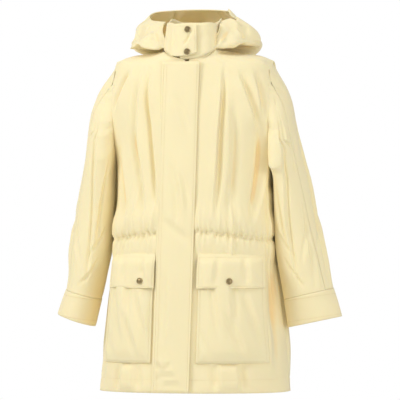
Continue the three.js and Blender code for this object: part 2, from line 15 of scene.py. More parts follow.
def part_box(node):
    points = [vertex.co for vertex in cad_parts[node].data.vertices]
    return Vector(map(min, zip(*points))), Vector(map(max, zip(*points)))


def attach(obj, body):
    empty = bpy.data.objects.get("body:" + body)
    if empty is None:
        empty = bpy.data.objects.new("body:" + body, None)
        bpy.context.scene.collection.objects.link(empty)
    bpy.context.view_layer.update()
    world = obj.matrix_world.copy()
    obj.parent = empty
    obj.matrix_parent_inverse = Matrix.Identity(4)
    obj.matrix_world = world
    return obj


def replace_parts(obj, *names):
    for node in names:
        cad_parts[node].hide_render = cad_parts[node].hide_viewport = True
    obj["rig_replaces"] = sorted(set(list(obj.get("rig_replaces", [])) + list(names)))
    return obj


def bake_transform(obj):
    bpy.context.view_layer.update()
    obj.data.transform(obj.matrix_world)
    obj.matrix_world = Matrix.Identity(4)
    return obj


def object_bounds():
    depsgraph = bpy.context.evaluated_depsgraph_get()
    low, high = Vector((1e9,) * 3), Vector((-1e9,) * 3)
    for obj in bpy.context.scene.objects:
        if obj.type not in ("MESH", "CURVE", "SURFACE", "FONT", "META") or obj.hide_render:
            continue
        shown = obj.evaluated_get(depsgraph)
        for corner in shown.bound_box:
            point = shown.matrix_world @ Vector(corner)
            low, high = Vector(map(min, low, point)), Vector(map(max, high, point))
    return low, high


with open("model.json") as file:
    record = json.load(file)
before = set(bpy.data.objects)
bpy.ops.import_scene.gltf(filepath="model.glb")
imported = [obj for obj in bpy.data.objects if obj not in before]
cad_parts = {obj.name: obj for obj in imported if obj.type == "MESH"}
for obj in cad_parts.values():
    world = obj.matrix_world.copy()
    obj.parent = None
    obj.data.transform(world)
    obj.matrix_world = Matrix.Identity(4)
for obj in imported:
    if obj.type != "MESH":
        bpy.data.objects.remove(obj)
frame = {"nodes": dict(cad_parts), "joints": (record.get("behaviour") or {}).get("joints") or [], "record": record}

CAD_BOX = [list(corner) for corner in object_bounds()]
NODES = frame["nodes"]
JOINTS = {joint["name"]: joint for joint in frame["joints"]}
MM = 0.001
SIDES = ((-1, "right"), (1, "left"))

# Heights and widths that the folds and seams follow, most taken from the frame; the armpit height and the hem's
# turn-up are given.
HEM_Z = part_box("front_left_panel")[0].z
NECK_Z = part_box("placket")[1].z
WAIST_Z = (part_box("waist_casing")[0].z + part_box("waist_casing")[1].z) / 2
ARMHOLE_X = abs(JOINTS["sleeve_left_raise"]["pos_m"][0])
SHOULDER_Z = JOINTS["sleeve_left_raise"]["pos_m"][2]
ARMPIT_Z = -0.225
HEM_TURN_UP = 0.03


# ---------------------------------------------------------------- small tools

def collection_add(obj):
    """Puts an object into the scene."""
    bpy.context.scene.collection.objects.link(obj)
    return obj


def smoothstep(low, high, value):
    """0 at low and 1 at high, with soft ends. Works downward too, when low is the larger."""
    t = np.clip((value - low) / (high - low), 0, 1)
    return t * t * (3 - 2 * t)


def coordinates(mesh):
    """The mesh's points as an array."""
    co = np.empty(len(mesh.vertices) * 3)
    mesh.vertices.foreach_get("co", co)
    return co.reshape(-1, 3)


def set_coordinates(mesh, co):
    """Moves the mesh's points."""
    mesh.vertices.foreach_set("co", np.asarray(co, float).ravel())
    mesh.update()


def noise_field(points, size, offset):
    """Smooth noise from -1 to 1 at each point, with lumps of about the given size."""
    shift = Vector((offset, offset * 1.7, offset * 0.3))
    return np.array([noise.noise(Vector(p) / size + shift) for p in points])


def along_line(points, line):
    """Distance of each 2-D point to a bent line, and how far along the line its nearest point is."""
    line = np.asarray(line, float)
    lengths = np.linalg.norm(np.diff(line, axis=0), axis=1)
    total = lengths.sum()
    best = np.full(len(points), 1e9)
    place = np.zeros(len(points))
    signed = np.zeros(len(points))
    walked = 0.0
    for start, end, length in zip(line[:-1], line[1:], lengths):
        step = (end - start) / length
        relative = points - start
        t = np.clip(relative @ step, 0, length)
        gap = relative - t[:, None] * step
        distance = np.linalg.norm(gap, axis=1)
        side = np.sign(step[0] * gap[:, 1] - step[1] * gap[:, 0])
        nearer = distance < best
        best = np.where(nearer, distance, best)
        signed = np.where(nearer, side * distance, signed)
        place = np.where(nearer, (walked + t) / total, place)
        walked += length
    return signed, place


def eased(line, rounds=3):
    """The same line with its corners cut round."""
    line = np.asarray(line, float)
    for _ in range(rounds):
        near, far = line[:-1], line[1:]
        cut = np.stack([0.75 * near + 0.25 * far, 0.25 * near + 0.75 * far], axis=1)
        cut = cut.reshape(-1, line.shape[1])
        line = np.concatenate([line[:1], cut, line[-1:]])
    return line


def fold(points, line, width, depth):
    """A crisp fold along a line: a valley, a ridge beside it, and a slow fall behind the ridge.

    The ridge lies to the left of the line as it is drawn, or to the right if the depth is negative.
    """
    gap, place = along_line(points, eased(line))
    gap = gap * np.sign(depth)
    fade = smoothstep(0, 0.3, place) * smoothstep(0, 0.35, 1 - place)
    crest = 1.5 * width
    valley = np.exp(-((gap / (0.8 * width)) ** 2))
    rising = np.exp(-(((gap - crest) / (0.7 * width)) ** 2))
    falling = np.exp(-np.clip(gap - crest, 0, None) / (3.2 * width))
    ridge = np.where(gap < crest, rising, falling)
    return abs(depth) * fade * (0.75 * ridge - 0.8 * valley)


# ---------------------------------------------------------------- cloth pieces

RIM_ANGLE = math.radians(55)


def cloth_mesh(node, levels):
    """The node's sheet made smooth: its triangles paired into quads, its rim creased, subdivided."""
    bm = bmesh.new()
    bm.from_mesh(NODES[node].data)
    bmesh.ops.remove_doubles(bm, verts=bm.verts, dist=0.02 * MM)
    bmesh.ops.join_triangles(
        bm,
        faces=bm.faces,
        angle_face_threshold=math.radians(40),
        angle_shape_threshold=math.radians(80),
    )
    crease = bm.edges.layers.float.new("crease_edge")
    for edge in bm.edges:
        if len(edge.link_faces) == 2 and edge.calc_face_angle() > RIM_ANGLE:
            edge[crease] = 1.0
    mesh = bpy.data.meshes.new(node)
    bm.to_mesh(mesh)
    bm.free()
    obj = collection_add(bpy.data.objects.new(node + "_making", mesh))
    smooth = obj.modifiers.new("smooth", "SUBSURF")
    smooth.levels = smooth.render_levels = levels
    graph = bpy.context.evaluated_depsgraph_get()
    final = bpy.data.meshes.new_from_object(obj.evaluated_get(graph))
    bpy.data.objects.remove(obj)
    return final


def rim_distance(mesh, co):
    """How far each point is from the nearest cut edge of the cloth."""
    bm = bmesh.new()
    bm.from_mesh(mesh)
    rim = {
        vert.index
        for edge in bm.edges
        if len(edge.link_faces) == 2 and edge.calc_face_angle() > RIM_ANGLE
        for vert in edge.verts
    }
    bm.free()
    if not rim:
        return np.full(len(co), 1.0)
    tree = KDTree(len(rim))
    for index in rim:
        tree.insert(co[index], index)
    tree.balance()
    return np.array([tree.find(point)[2] for point in co])


def outward(co, flatten=0.7):
    """The level direction away from the middle line of a hanging tube, at each point."""
    heights = co[:, 2]
    bins = np.linspace(heights.min() - 1e-6, heights.max() + 1e-6, 24)
    middles, centres = [], []
    for low, high in zip(bins[:-1], bins[1:]):
        here = co[(heights >= low) & (heights <= high)]
        if len(here):
            middles.append((low + high) / 2)
            centres.append((here.max(axis=0)[:2] + here.min(axis=0)[:2]) / 2)
    centres = np.array(centres)
    centre = np.stack([np.interp(heights, middles, centres[:, k]) for k in (0, 1)], axis=1)
    away = (co[:, :2] - centre) * np.array([flatten, 1.0])
    away /= np.maximum(np.linalg.norm(away, axis=1), 1e-6)[:, None]
    return np.column_stack([away, np.zeros(len(co))])


def body_outward(co):
    """The direction away from the coat's own middle."""
    away = np.column_stack([co[:, 0] * 0.55, co[:, 1], np.zeros(len(co))])
    return away / np.maximum(np.linalg.norm(away, axis=1), 1e-6)[:, None]


def finish_cloth(name, mesh, material):
    """A piece from a finished mesh, with a cloth map in metres and smooth shading."""
    co = coordinates(mesh)
    layer = mesh.uv_layers.new(name="cloth")
    middle = (co.max(axis=0) + co.min(axis=0)) / 2
    turn = np.arctan2(co[:, 0] - middle[0], -(co[:, 1] - middle[1]))
    radius = 0.5 * np.linalg.norm((co.max(axis=0) - co.min(axis=0))[:2])
    flat = np.column_stack([turn * max(radius, 0.02), co[:, 2]])
    loops = np.empty(len(mesh.loops), int)
    mesh.loops.foreach_get("vertex_index", loops)
    layer.data.foreach_set("uv", flat[loops].ravel())
    mesh.materials.clear()
    mesh.materials.append(material)
    mesh.shade_smooth()
    piece = collection_add(bpy.data.objects.new(name, mesh))
    return piece


def cloth_piece(node, material, levels=3, shape=None, direction=body_outward,
                seam_width=0.012, wrinkle=0.5, refit=None):
    """A visible cloth piece from a CAD sheet.

    The refit moves the sheet onto its neighbours, and the shape gives the height of its folds.
    """
    mesh = cloth_mesh(node, levels)
    co = coordinates(mesh)
    free = smoothstep(0.001, seam_width, rim_distance(mesh, co))
    if refit is not None:
        co = refit(co)
    height = np.zeros(len(co))
    if shape is not None:
        height += shape(co)
    long_noise = noise_field(co * np.array([1.0, 1.0, 0.45]), 0.045, 3.1)
    fine_noise = noise_field(co * np.array([1.0, 1.0, 0.6]), 0.016, 7.7)
    crumple = long_noise + 0.35 * (0.5 - np.abs(fine_noise))
    height += wrinkle * MM * crumple
    co = co + direction(co) * (height * free)[:, None]
    set_coordinates(mesh, co)
    # How deep each point lies in a crease, kept for the painted shade that the material lays into the creases.
    depth = mesh.attributes.new("crease_shade_depth", "FLOAT", "POINT")
    depth.data.foreach_set("value", np.clip(0.5 - height * free / (15 * MM), 0, 1).astype(np.float32))
    piece = finish_cloth(node + "_cloth", mesh, material)
    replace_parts(piece, node)
    return piece


# ---------------------------------------------------------------- shared effects for the materials

def new_group(name, inputs, outputs):
    """An empty node group with its sockets."""
    group = bpy.data.node_groups.new(name, "ShaderNodeTree")
    for label, kind, value in inputs:
        socket = group.interface.new_socket(label, in_out="INPUT", socket_type=kind)
        if value is not None:
            socket.default_value = value
    for label, kind in outputs:
        group.interface.new_socket(label, in_out="OUTPUT", socket_type=kind)
    return group, group.nodes.new("NodeGroupInput"), group.nodes.new("NodeGroupOutput")


def make_weave():
    """A plain weave on the cloth map: a height for the threads and a mask for the painted shade between them."""
    group, given, out = new_group(
        "plain_weave",
        [("Threads per metre", "NodeSocketFloat", 1800.0), ("Uneven", "NodeSocketFloat", 0.4)],
        [("Height", "NodeSocketFloat"), ("Mask", "NodeSocketFloat")],
    )
    nodes, link = group.nodes, group.links.new
    uv = nodes.new("ShaderNodeUVMap")
    uv.uv_map = "cloth"
    scale = nodes.new("ShaderNodeVectorMath")
    scale.operation = "SCALE"
    link(uv.outputs[0], scale.inputs[0])
    link(given.outputs["Threads per metre"], scale.inputs["Scale"])
    split = nodes.new("ShaderNodeSeparateXYZ")
    link(scale.outputs[0], split.inputs[0])
    waves = []
    for axis in (0, 1):
        turn = nodes.new("ShaderNodeMath")
        turn.operation = "MULTIPLY"
        turn.inputs[1].default_value = math.pi
        wave = nodes.new("ShaderNodeMath")
        wave.operation = "SINE"
        link(split.outputs[axis], turn.inputs[0])
        link(turn.outputs[0], wave.inputs[0])
        waves.append(wave)
    product = nodes.new("ShaderNodeMath")
    product.operation = "MULTIPLY"
    link(waves[0].outputs[0], product.inputs[0])
    link(waves[1].outputs[0], product.inputs[1])
    slub = nodes.new("ShaderNodeTexNoise")
    slub.inputs["Scale"].default_value = 0.35
    slub.inputs["Detail"].default_value = 3.0
    link(scale.outputs[0], slub.inputs["Vector"])
    uneven = nodes.new("ShaderNodeMath")
    uneven.operation = "MULTIPLY"
    link(slub.outputs["Fac"], uneven.inputs[0])
    link(given.outputs["Uneven"], uneven.inputs[1])
    total = nodes.new("ShaderNodeMath")
    total.operation = "ADD"
    link(product.outputs[0], total.inputs[0])
    link(uneven.outputs[0], total.inputs[1])
    link(total.outputs[0], out.inputs["Height"])
    mask = nodes.new("ShaderNodeMapRange")
    mask.inputs["From Min"].default_value = -1.0
    link(product.outputs[0], mask.inputs["Value"])
    link(mask.outputs["Result"], out.inputs["Mask"])
    return group


def make_mottle():
    """Slow changes of shade over a surface, on Object coordinates."""
    group, given, out = new_group(
        "slow_mottle",
        [("Size", "NodeSocketFloat", 8.0), ("Detail", "NodeSocketFloat", 4.0)],
        [("Mask", "NodeSocketFloat")],
    )
    nodes, link = group.nodes, group.links.new
    place = nodes.new("ShaderNodeTexCoord")
    cloud = nodes.new("ShaderNodeTexNoise")
    cloud.inputs["Roughness"].default_value = 0.6
    link(place.outputs["Object"], cloud.inputs["Vector"])
    link(given.outputs["Size"], cloud.inputs["Scale"])
    link(given.outputs["Detail"], cloud.inputs["Detail"])
    spread = nodes.new("ShaderNodeMapRange")
    spread.inputs["From Min"].default_value = 0.3
    spread.inputs["From Max"].default_value = 0.7
    link(cloud.outputs["Fac"], spread.inputs["Value"])
    link(spread.outputs["Result"], out.inputs["Mask"])
    return group


def make_worn():
    """A mask that is high on a piece's edges and patchy, for rubbed metal."""
    group, given, out = new_group(
        "rubbed_edges",
        [("Spread", "NodeSocketFloat", 0.5)],
        [("Mask", "NodeSocketFloat")],
    )
    nodes, link = group.nodes, group.links.new
    shape = nodes.new("ShaderNodeNewGeometry")
    edge = nodes.new("ShaderNodeMapRange")
    edge.inputs["From Min"].default_value = 0.5
    edge.inputs["From Max"].default_value = 0.58
    link(shape.outputs["Pointiness"], edge.inputs["Value"])
    place = nodes.new("ShaderNodeTexCoord")
    patch = nodes.new("ShaderNodeTexNoise")
    patch.inputs["Scale"].default_value = 900.0
    link(place.outputs["Object"], patch.inputs["Vector"])
    mix = nodes.new("ShaderNodeMath")
    mix.operation = "MULTIPLY_ADD"
    link(patch.outputs["Fac"], mix.inputs[0])
    link(given.outputs["Spread"], mix.inputs[1])
    link(edge.outputs["Result"], mix.inputs[2])
    mix.use_clamp = True
    link(mix.outputs[0], out.inputs["Mask"])
    return group


WEAVE = make_weave()
MOTTLE = make_mottle()
WORN = make_worn()


def place_group(nodes, group, **values):
    """One use of a node group, with its values set."""
    node = nodes.new("ShaderNodeGroup")
    node.node_tree = group
    for label, value in values.items():
        node.inputs[label.replace("_", " ")].default_value = value
    return node


def mix_colours(nodes, link, mask, low, high):
    """A mix of two colours or colour sockets by a mask."""
    mix = nodes.new("ShaderNodeMix")
    mix.data_type = "RGBA"
    link(mask, mix.inputs["Factor"])
    for socket, value in ((mix.inputs["A"], low), (mix.inputs["B"], high)):
        if isinstance(value, tuple):
            socket.default_value = (*value, 1.0)
        else:
            link(value, socket)
    return mix.outputs["Result"]


def cloth_finish(name, light, painted_shade_colour, threads, roughness=0.82, sheen=0.15, glow=0.0):
    """Woven cloth: a painted warm shade in the deep creases and between the threads, slightly uneven in tone,
    threads in the bump.
    """
    material = bpy.data.materials.new(name)
    material.use_nodes = True
    nodes, link = material.node_tree.nodes, material.node_tree.links.new
    shader = nodes["Principled BSDF"]
    mottle = place_group(nodes, MOTTLE, Size=7.0, Detail=5.0)
    weave = place_group(nodes, WEAVE, Threads_per_metre=threads)
    # Painted shade: the deepest creases take the second, warmer colour in place of the shade the lamps would give.
    depth = nodes.new("ShaderNodeAttribute")
    depth.attribute_name = "crease_shade_depth"
    valley = nodes.new("ShaderNodeMapRange")
    valley.inputs["From Min"].default_value = 0.80
    valley.inputs["From Max"].default_value = 1.0
    link(depth.outputs["Fac"], valley.inputs["Value"])
    shaded = mix_colours(nodes, link, valley.outputs["Result"], light, painted_shade_colour)
    paler = tuple(min(1.0, c * 1.03 + 0.004) for c in light)
    soft = nodes.new("ShaderNodeMath")
    soft.operation = "MULTIPLY"
    soft.inputs[1].default_value = 0.45
    link(mottle.outputs["Mask"], soft.inputs[0])
    clouded = mix_colours(nodes, link, soft.outputs[0], shaded, paler)
    # Painted shade between the threads: the weave mask mixes in the shade colour.
    between = nodes.new("ShaderNodeMath")
    between.operation = "MULTIPLY"
    between.inputs[1].default_value = 0.14
    link(weave.outputs["Mask"], between.inputs[0])
    woven = mix_colours(nodes, link, between.outputs[0], clouded, painted_shade_colour)
    link(woven, shader.inputs["Base Color"])
    rough = nodes.new("ShaderNodeMapRange")
    rough.inputs["To Min"].default_value = roughness - 0.06
    rough.inputs["To Max"].default_value = roughness + 0.05
    link(mottle.outputs["Mask"], rough.inputs["Value"])
    link(rough.outputs["Result"], shader.inputs["Roughness"])
    bump = nodes.new("ShaderNodeBump")
    bump.inputs["Strength"].default_value = 0.25
    bump.inputs["Distance"].default_value = 0.00012
    link(weave.outputs["Height"], bump.inputs["Height"])
    link(bump.outputs["Normal"], shader.inputs["Normal"])
    shader.inputs["Sheen Weight"].default_value = sheen
    shader.inputs["Sheen Roughness"].default_value = 0.5
    shader.inputs["Specular IOR Level"].default_value = 0.25
    if glow:
        shader.inputs["Subsurface Weight"].default_value = glow
        shader.inputs["Subsurface Radius"].default_value = (1.0, 0.6, 0.2)
        shader.inputs["Subsurface Scale"].default_value = 0.004
    return material


def metal_finish(name, dark, bright, roughness):
    """Aged metal: dark in the hollows, rubbed brighter on the edges, brushed in patches."""
    material = bpy.data.materials.new(name)
    material.use_nodes = True
    nodes, link = material.node_tree.nodes, material.node_tree.links.new
    shader = nodes["Principled BSDF"]
    worn = place_group(nodes, WORN, Spread=0.55)
    mottle = place_group(nodes, MOTTLE, Size=600.0, Detail=3.0)
    link(mix_colours(nodes, link, worn.outputs["Mask"], dark, bright), shader.inputs["Base Color"])
    rough = nodes.new("ShaderNodeMapRange")
    rough.inputs["To Min"].default_value = roughness - 0.08
    rough.inputs["To Max"].default_value = roughness + 0.12
    link(mottle.outputs["Mask"], rough.inputs["Value"])
    link(rough.outputs["Result"], shader.inputs["Roughness"])
    bump = nodes.new("ShaderNodeBump")
    bump.inputs["Strength"].default_value = 0.3
    bump.inputs["Distance"].default_value = 0.0001
    link(mottle.outputs["Mask"], bump.inputs["Height"])
    link(bump.outputs["Normal"], shader.inputs["Normal"])
    shader.inputs["Metallic"].default_value = 0.9
    return material


# The second colour of each cloth finish is its painted shade, laid into the deep creases and between the threads.
SHELL = cloth_finish("shell_poplin", (0.93, 0.815, 0.505), (0.92, 0.67, 0.32), 1700.0, glow=0.12)
LINING = cloth_finish("lining_plain", (0.80, 0.72, 0.50), (0.74, 0.60, 0.34), 1500.0, roughness=0.7)
TAPE = cloth_finish("zip_tape_twill", (0.83, 0.72, 0.42), (0.76, 0.60, 0.30), 1100.0)
ELASTIC = cloth_finish("elastic_ribbed", (0.85, 0.82, 0.72), (0.66, 0.62, 0.52), 700.0)
LABEL = cloth_finish("label_satin", (0.90, 0.88, 0.80), (0.78, 0.75, 0.66), 2400.0, roughness=0.55)
THREAD = cloth_finish("stitch_thread", (0.86, 0.72, 0.40), (0.70, 0.52, 0.24), 2600.0, sheen=0.3)
BRASS = metal_finish("antique_brass", (0.20, 0.14, 0.06), (0.50, 0.40, 0.22), 0.36)
TEETH = cloth_finish("moulded_teeth", (0.80, 0.68, 0.38), (0.68, 0.52, 0.24), 2000.0, roughness=0.45)


# ---------------------------------------------------------------- the folds of the body

def waist_line(x):
    """Height of the drawn-in waist at a distance from the middle: it rises towards the front."""
    wave = 1.6 * MM * np.sin(x * 430) + 1.3 * MM * np.sin(x * 213 + 1.0)
    return WAIST_Z + 0.012 - 0.022 * np.clip(np.abs(x) / ARMHOLE_X, 0, 1) ** 1.2 + wave


def gathers(across, z, line_z, spacing, seed, tall=1.0):
    """Small uneven pleats above and below a drawn-in line."""
    draw = np.random.default_rng(seed)
    height = np.zeros(len(across))
    spot = across.min() + draw.uniform(0.2, 0.9) * spacing
    rise = z - line_z
    while spot < across.max():
        width = draw.uniform(0.22, 0.4) * spacing
        lean = draw.uniform(-0.16, 0.16)
        is_long = draw.uniform() < 0.3
        up = draw.uniform(0.05, 0.09) if is_long else draw.uniform(0.008, 0.024)
        down = draw.uniform(0.03, 0.06) if is_long else draw.uniform(0.006, 0.018)
        reach = np.exp(-np.abs(rise) / np.where(rise > 0, up, down))
        size = draw.uniform(3.0, 7.0) * MM * tall
        height += size * reach * np.exp(-(((across - spot - lean * rise) / width) ** 2))
        spot += spacing * draw.uniform(0.7, 1.4)
    return height


def drawn_waist(z, line_z):
    """The waist pulled in, with the cloth above it falling over and the cloth below it springing out."""
    rise = z - line_z
    pinch = -6.5 * MM * np.exp(-((rise / 0.0060) ** 2))
    over = 9.0 * MM * np.exp(-(((rise - 0.030) / 0.030) ** 2))
    under = 4.5 * MM * np.exp(-(((rise + 0.026) / 0.020) ** 2))
    return pinch + over + under


# Each fold: its line of (distance from the middle, height), its width and its depth.
RIGHT_FRONT_FOLDS = [
    ([(-0.088, -0.026), (-0.094, -0.116), (-0.079, -0.20), (-0.062, -0.40)], 0.0062, 0.0105),
    ([(-0.108, -0.036), (-0.124, -0.13), (-0.120, -0.21), (-0.104, -0.30)], 0.0085, 0.0060),
    ([(-0.135, -0.040), (-0.160, -0.09), (-0.182, -0.15)], 0.0075, 0.0085),
    ([(-0.136, -0.15), (-0.126, -0.21), (-0.108, -0.28), (-0.092, -0.41)], 0.0100, 0.0075),
    ([(-0.170, -0.20), (-0.160, -0.28), (-0.146, -0.36), (-0.142, -0.42)], 0.0095, 0.0085),
    ([(-0.186, -0.445), (-0.194, -0.60), (-0.204, -0.775)], 0.0120, 0.0105),
    ([(-0.150, -0.700), (-0.156, -0.775)], 0.0100, 0.0070),
    ([(-0.105, -0.700), (-0.100, -0.775)], 0.0110, -0.0060),
]
LEFT_FRONT_FOLDS = [
    ([(0.086, -0.026), (0.083, -0.11), (0.077, -0.19), (0.075, -0.27), (0.068, -0.40)], 0.0062, -0.0110),
    ([(0.118, -0.045), (0.130, -0.08), (0.156, -0.154), (0.166, -0.20)], 0.0080, -0.0095),
    ([(0.150, -0.045), (0.166, -0.10), (0.174, -0.17)], 0.0075, -0.0070),
    ([(0.160, -0.16), (0.164, -0.19), (0.157, -0.29), (0.138, -0.41)], 0.0085, 0.0115),
    ([(0.106, -0.09), (0.112, -0.20), (0.108, -0.30), (0.094, -0.41)], 0.0120, -0.0075),
    ([(0.178, -0.22), (0.180, -0.27), (0.172, -0.34)], 0.0080, 0.0080),
    ([(0.184, -0.445), (0.194, -0.60), (0.206, -0.775)], 0.0100, -0.0080),
    ([(0.172, -0.44), (0.178, -0.52), (0.190, -0.66)], 0.0100, -0.0070),
    ([(0.070, -0.700), (0.076, -0.775)], 0.0110, 0.0060),
    ([(0.130, -0.700), (0.138, -0.775)], 0.0100, -0.0070),
]
BACK_FOLDS = [
    ([(0.036, -0.05), (0.050, -0.16), (0.048, -0.30), (0.034, -0.41)], 0.0120, 0.0090),
    ([(0.096, -0.05), (0.112, -0.16), (0.108, -0.28), (0.090, -0.41)], 0.0110, -0.0100),
    ([(0.140, -0.06), (0.160, -0.15), (0.172, -0.22)], 0.0090, -0.0090),
    ([(0.166, -0.20), (0.160, -0.30), (0.140, -0.41)], 0.0100, 0.0110),
    ([(0.046, -0.44), (0.056, -0.60), (0.064, -0.775)], 0.0150, 0.0110),
    ([(0.108, -0.44), (0.120, -0.60), (0.132, -0.775)], 0.0150, -0.0120),
    ([(0.160, -0.44), (0.176, -0.60), (0.192, -0.775)], 0.0130, 0.0110),
]


def body_shape(folds, seed, mirror=1, opening=0.0):
    """Folds, gathers, waist and hem row of a body panel, clear of the front opening."""
    def shape(co):
        across, z = co[:, 0] * mirror, co[:, 2]
        flat = np.column_stack([across, z])
        height = np.zeros(len(co))
        for line, width, depth in folds:
            height += fold(flat, line, width, depth)
        line_z = waist_line(across)
        sideways = np.arctan2(co[:, 0] * 0.7, np.abs(co[:, 1])) * 0.17
        clear = smoothstep(opening - 0.012, opening + 0.008, np.abs(co[:, 0]))
        height += clear * gathers(sideways, z, line_z, 0.0115, seed)
        height += clear * drawn_waist(z, line_z)
        ripple = noise_field(np.column_stack([co[:, 0], co[:, 1], z * 0.25]), 0.05, seed * 0.37)
        height += 3.0 * MM * ripple * smoothstep(-0.50, HEM_Z, z)
        stitched = np.exp(-(((z - HEM_Z - HEM_TURN_UP) / 0.0022) ** 2))
        return height - 0.8 * MM * stitched
    return shape


SHOULDER_RISE = 0.021


def shoulder_lift(co):
    """How far the shoulder's tip is held up by the wearer, on the body and on the sleeve's head."""
    outer = smoothstep(0.070, 0.165, np.abs(co[:, 0]))
    upper = smoothstep(-0.150, SHOULDER_Z - 0.01, co[:, 2])
    return SHOULDER_RISE * outer * upper


def body_refit(co):
    """A body panel with its shoulder held up."""
    moved = co.copy()
    moved[:, 2] += shoulder_lift(co)
    return moved


body_pieces = {}
placket_low, placket_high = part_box("placket")
for side, name in SIDES:
    front_folds = LEFT_FRONT_FOLDS if side > 0 else RIGHT_FRONT_FOLDS
    opening = placket_high.x if side > 0 else -placket_low.x
    body_pieces["front_" + name] = cloth_piece(
        f"front_{name}_panel", SHELL, levels=4,
        shape=body_shape(front_folds, 5 + side, opening=opening * 0.9), wrinkle=0.9, refit=body_refit)
    body_pieces["back_" + name] = cloth_piece(
        f"back_{name}_panel", SHELL, levels=4,
        shape=body_shape(BACK_FOLDS, 11 + side, mirror=side), wrinkle=1.0, refit=body_refit)

# ---------------------------------------------------------------- placket, pockets and flaps


def surface_of(*pieces):
    """The pieces' surface, for finding the nearest point on it."""
    bm = bmesh.new()
    for piece in pieces:
        bm.from_mesh(piece.data)
    tree = BVHTree.FromBMesh(bm)
    bm.free()
    return tree


def placket_shape(co):
    """Creases of the placket, closest at the hem where it buckles."""
    flat = co[:, [0, 2]]
    height = fold(flat, [(-0.066, -0.700), (-0.045, -0.722), (-0.014, -0.704)], 0.0060, 0.0042)
    height += fold(flat, [(-0.062, -0.742), (-0.036, -0.730), (-0.006, -0.738)], 0.0050, 0.0040)
    height += fold(flat, [(-0.045, -0.757), (-0.020, -0.749), (0.004, -0.757)], 0.0045, 0.0034)
    height += fold(flat, [(-0.058, -0.38), (-0.030, -0.405), (0.020, -0.440)], 0.0110, 0.0036)
    height += fold(flat, [(-0.030, -0.10), (-0.006, -0.140), (0.016, -0.20)], 0.0090, -0.0030)
    height += fold(flat, [(-0.038, -0.24), (-0.014, -0.33), (-0.020, -0.42)], 0.0085, 0.0034)
    height += fold(flat, [(-0.014, -0.27), (0.004, -0.31), (0.012, -0.38)], 0.0070, -0.0030)
    height += fold(flat, [(-0.050, -0.47), (-0.044, -0.58), (-0.052, -0.68)], 0.0110, 0.0030)
    ripple = noise_field(co * np.array([1.0, 1.0, 0.4]), 0.055, 4.2)
    return height + 2.2 * MM * ripple


placket = cloth_piece("placket", SHELL, shape=placket_shape, seam_width=0.006, wrinkle=0.45)


def pressed_flat(panel, edge_share, reach, sides_only=False):
    """A refit that presses a patch's edges down onto the panel it is sewn to."""
    tree = surface_of(panel)

    def refit(co):
        low, high = co.min(axis=0), co.max(axis=0)
        inward = np.minimum(co[:, 0] - low[0], high[0] - co[:, 0])
        if not sides_only:
            inward = np.minimum(inward, co[:, 2] - low[2])
        keep = edge_share + (1 - edge_share) * smoothstep(0, reach, inward)
        moved = co.copy()
        for index, point in enumerate(co):
            seat = np.array(tree.find_nearest(Vector(point))[0])
            moved[index] = seat + (point - seat) * keep[index]
        return moved
    return refit


def pocket_shape(co):
    """A slightly full patch pocket with slanting creases."""
    low, high = co.min(axis=0), co.max(axis=0)
    u = (co[:, 0] - low[0]) / (high[0] - low[0])
    v = (co[:, 2] - low[2]) / (high[2] - low[2])
    flat = co[:, [0, 2]]
    height = 3.0 * MM * np.sin(math.pi * np.clip(u, 0, 1)) * np.sin(math.pi * np.clip(v, 0, 1)) ** 0.7
    for start, end, depth in (((0.16, 1.0), (0.34, 0.20), 4.5), ((0.50, 1.0), (0.56, 0.30), -4.0),
                              ((0.60, 0.80), (0.95, 0.06), 5.0), ((0.36, 0.60), (0.72, 0.02), 4.5),
                              ((0.05, 0.35), (0.22, 0.04), -3.0)):
        line = [(low[0] + s * (high[0] - low[0]), low[2] + t * (high[2] - low[2]))
                for s, t in (start, end)]
        height += fold(flat, line, 0.0085, depth * MM)
    return height


def flap_shape(co):
    """A flap with two soft folds and a wavy lower edge, flat round its snap."""
    low, high = co.min(axis=0), co.max(axis=0)
    flat = co[:, [0, 2]]
    width = high[0] - low[0]
    outer = [(low[0] + 0.70 * width, high[2]), (low[0] + 0.76 * width, low[2])]
    inner_line = [(low[0] + 0.34 * width, high[2]), (low[0] + 0.30 * width, low[2])]
    height = fold(flat, outer, 0.0080, 0.0040)
    height += fold(flat, inner_line, 0.0085, -0.0036)
    droop = smoothstep(high[2], low[2], co[:, 2])
    height += 2.0 * MM * np.sin((co[:, 0] - low[0]) / width * 7.5) * droop
    height += 1.6 * MM * noise_field(co, 0.05, 9.4)
    snap_low, snap_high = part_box("pocket_right_snap_cap" if co[0, 0] < 0 else "pocket_left_snap_cap")
    snap = (snap_low + snap_high) / 2
    away = np.hypot(co[:, 0] - snap.x, co[:, 2] - snap.z)
    return height * smoothstep(0.008, 0.022, away)


pockets, flaps = {}, {}
for side, name in SIDES:
    pockets[name] = cloth_piece(f"pocket_{name}", SHELL, levels=3, shape=pocket_shape, wrinkle=0.7,
                                seam_width=0.009,
                                refit=pressed_flat(body_pieces["front_" + name], 0.35, 0.030))
    flaps[name] = cloth_piece(f"pocket_flap_{name}", SHELL, shape=flap_shape, wrinkle=0.5,
                              seam_width=0.002,
                              refit=pressed_flat(body_pieces["front_" + name], 0.5, 0.022, True))

# ---------------------------------------------------------------- collar and hood


def collar_shape(co):
    """A shallow crease and a soft ripple round the collar."""
    flat = np.column_stack([np.arctan2(co[:, 0], -co[:, 1]) * 0.075, co[:, 2]])
    height = fold(flat, [(-0.012, 0.0), (0.03, 0.03), (0.06, 0.02)], 0.010, 0.0010)
    ripple = noise_field(co * np.array([1.0, 1.0, 0.5]), 0.05, 2.6)
    return height + 1.6 * MM * ripple


def tab_shape(co):
    """The diagonal pull between the tab's two snaps."""
    flat = co[:, [0, 2]]
    height = fold(flat, [(0.008, 0.036), (0.000, 0.014), (-0.012, 0.002)], 0.0040, 0.0042)
    height += fold(flat, [(-0.034, 0.045), (-0.030, 0.015), (-0.034, -0.012)], 0.0060, -0.0022)
    return height


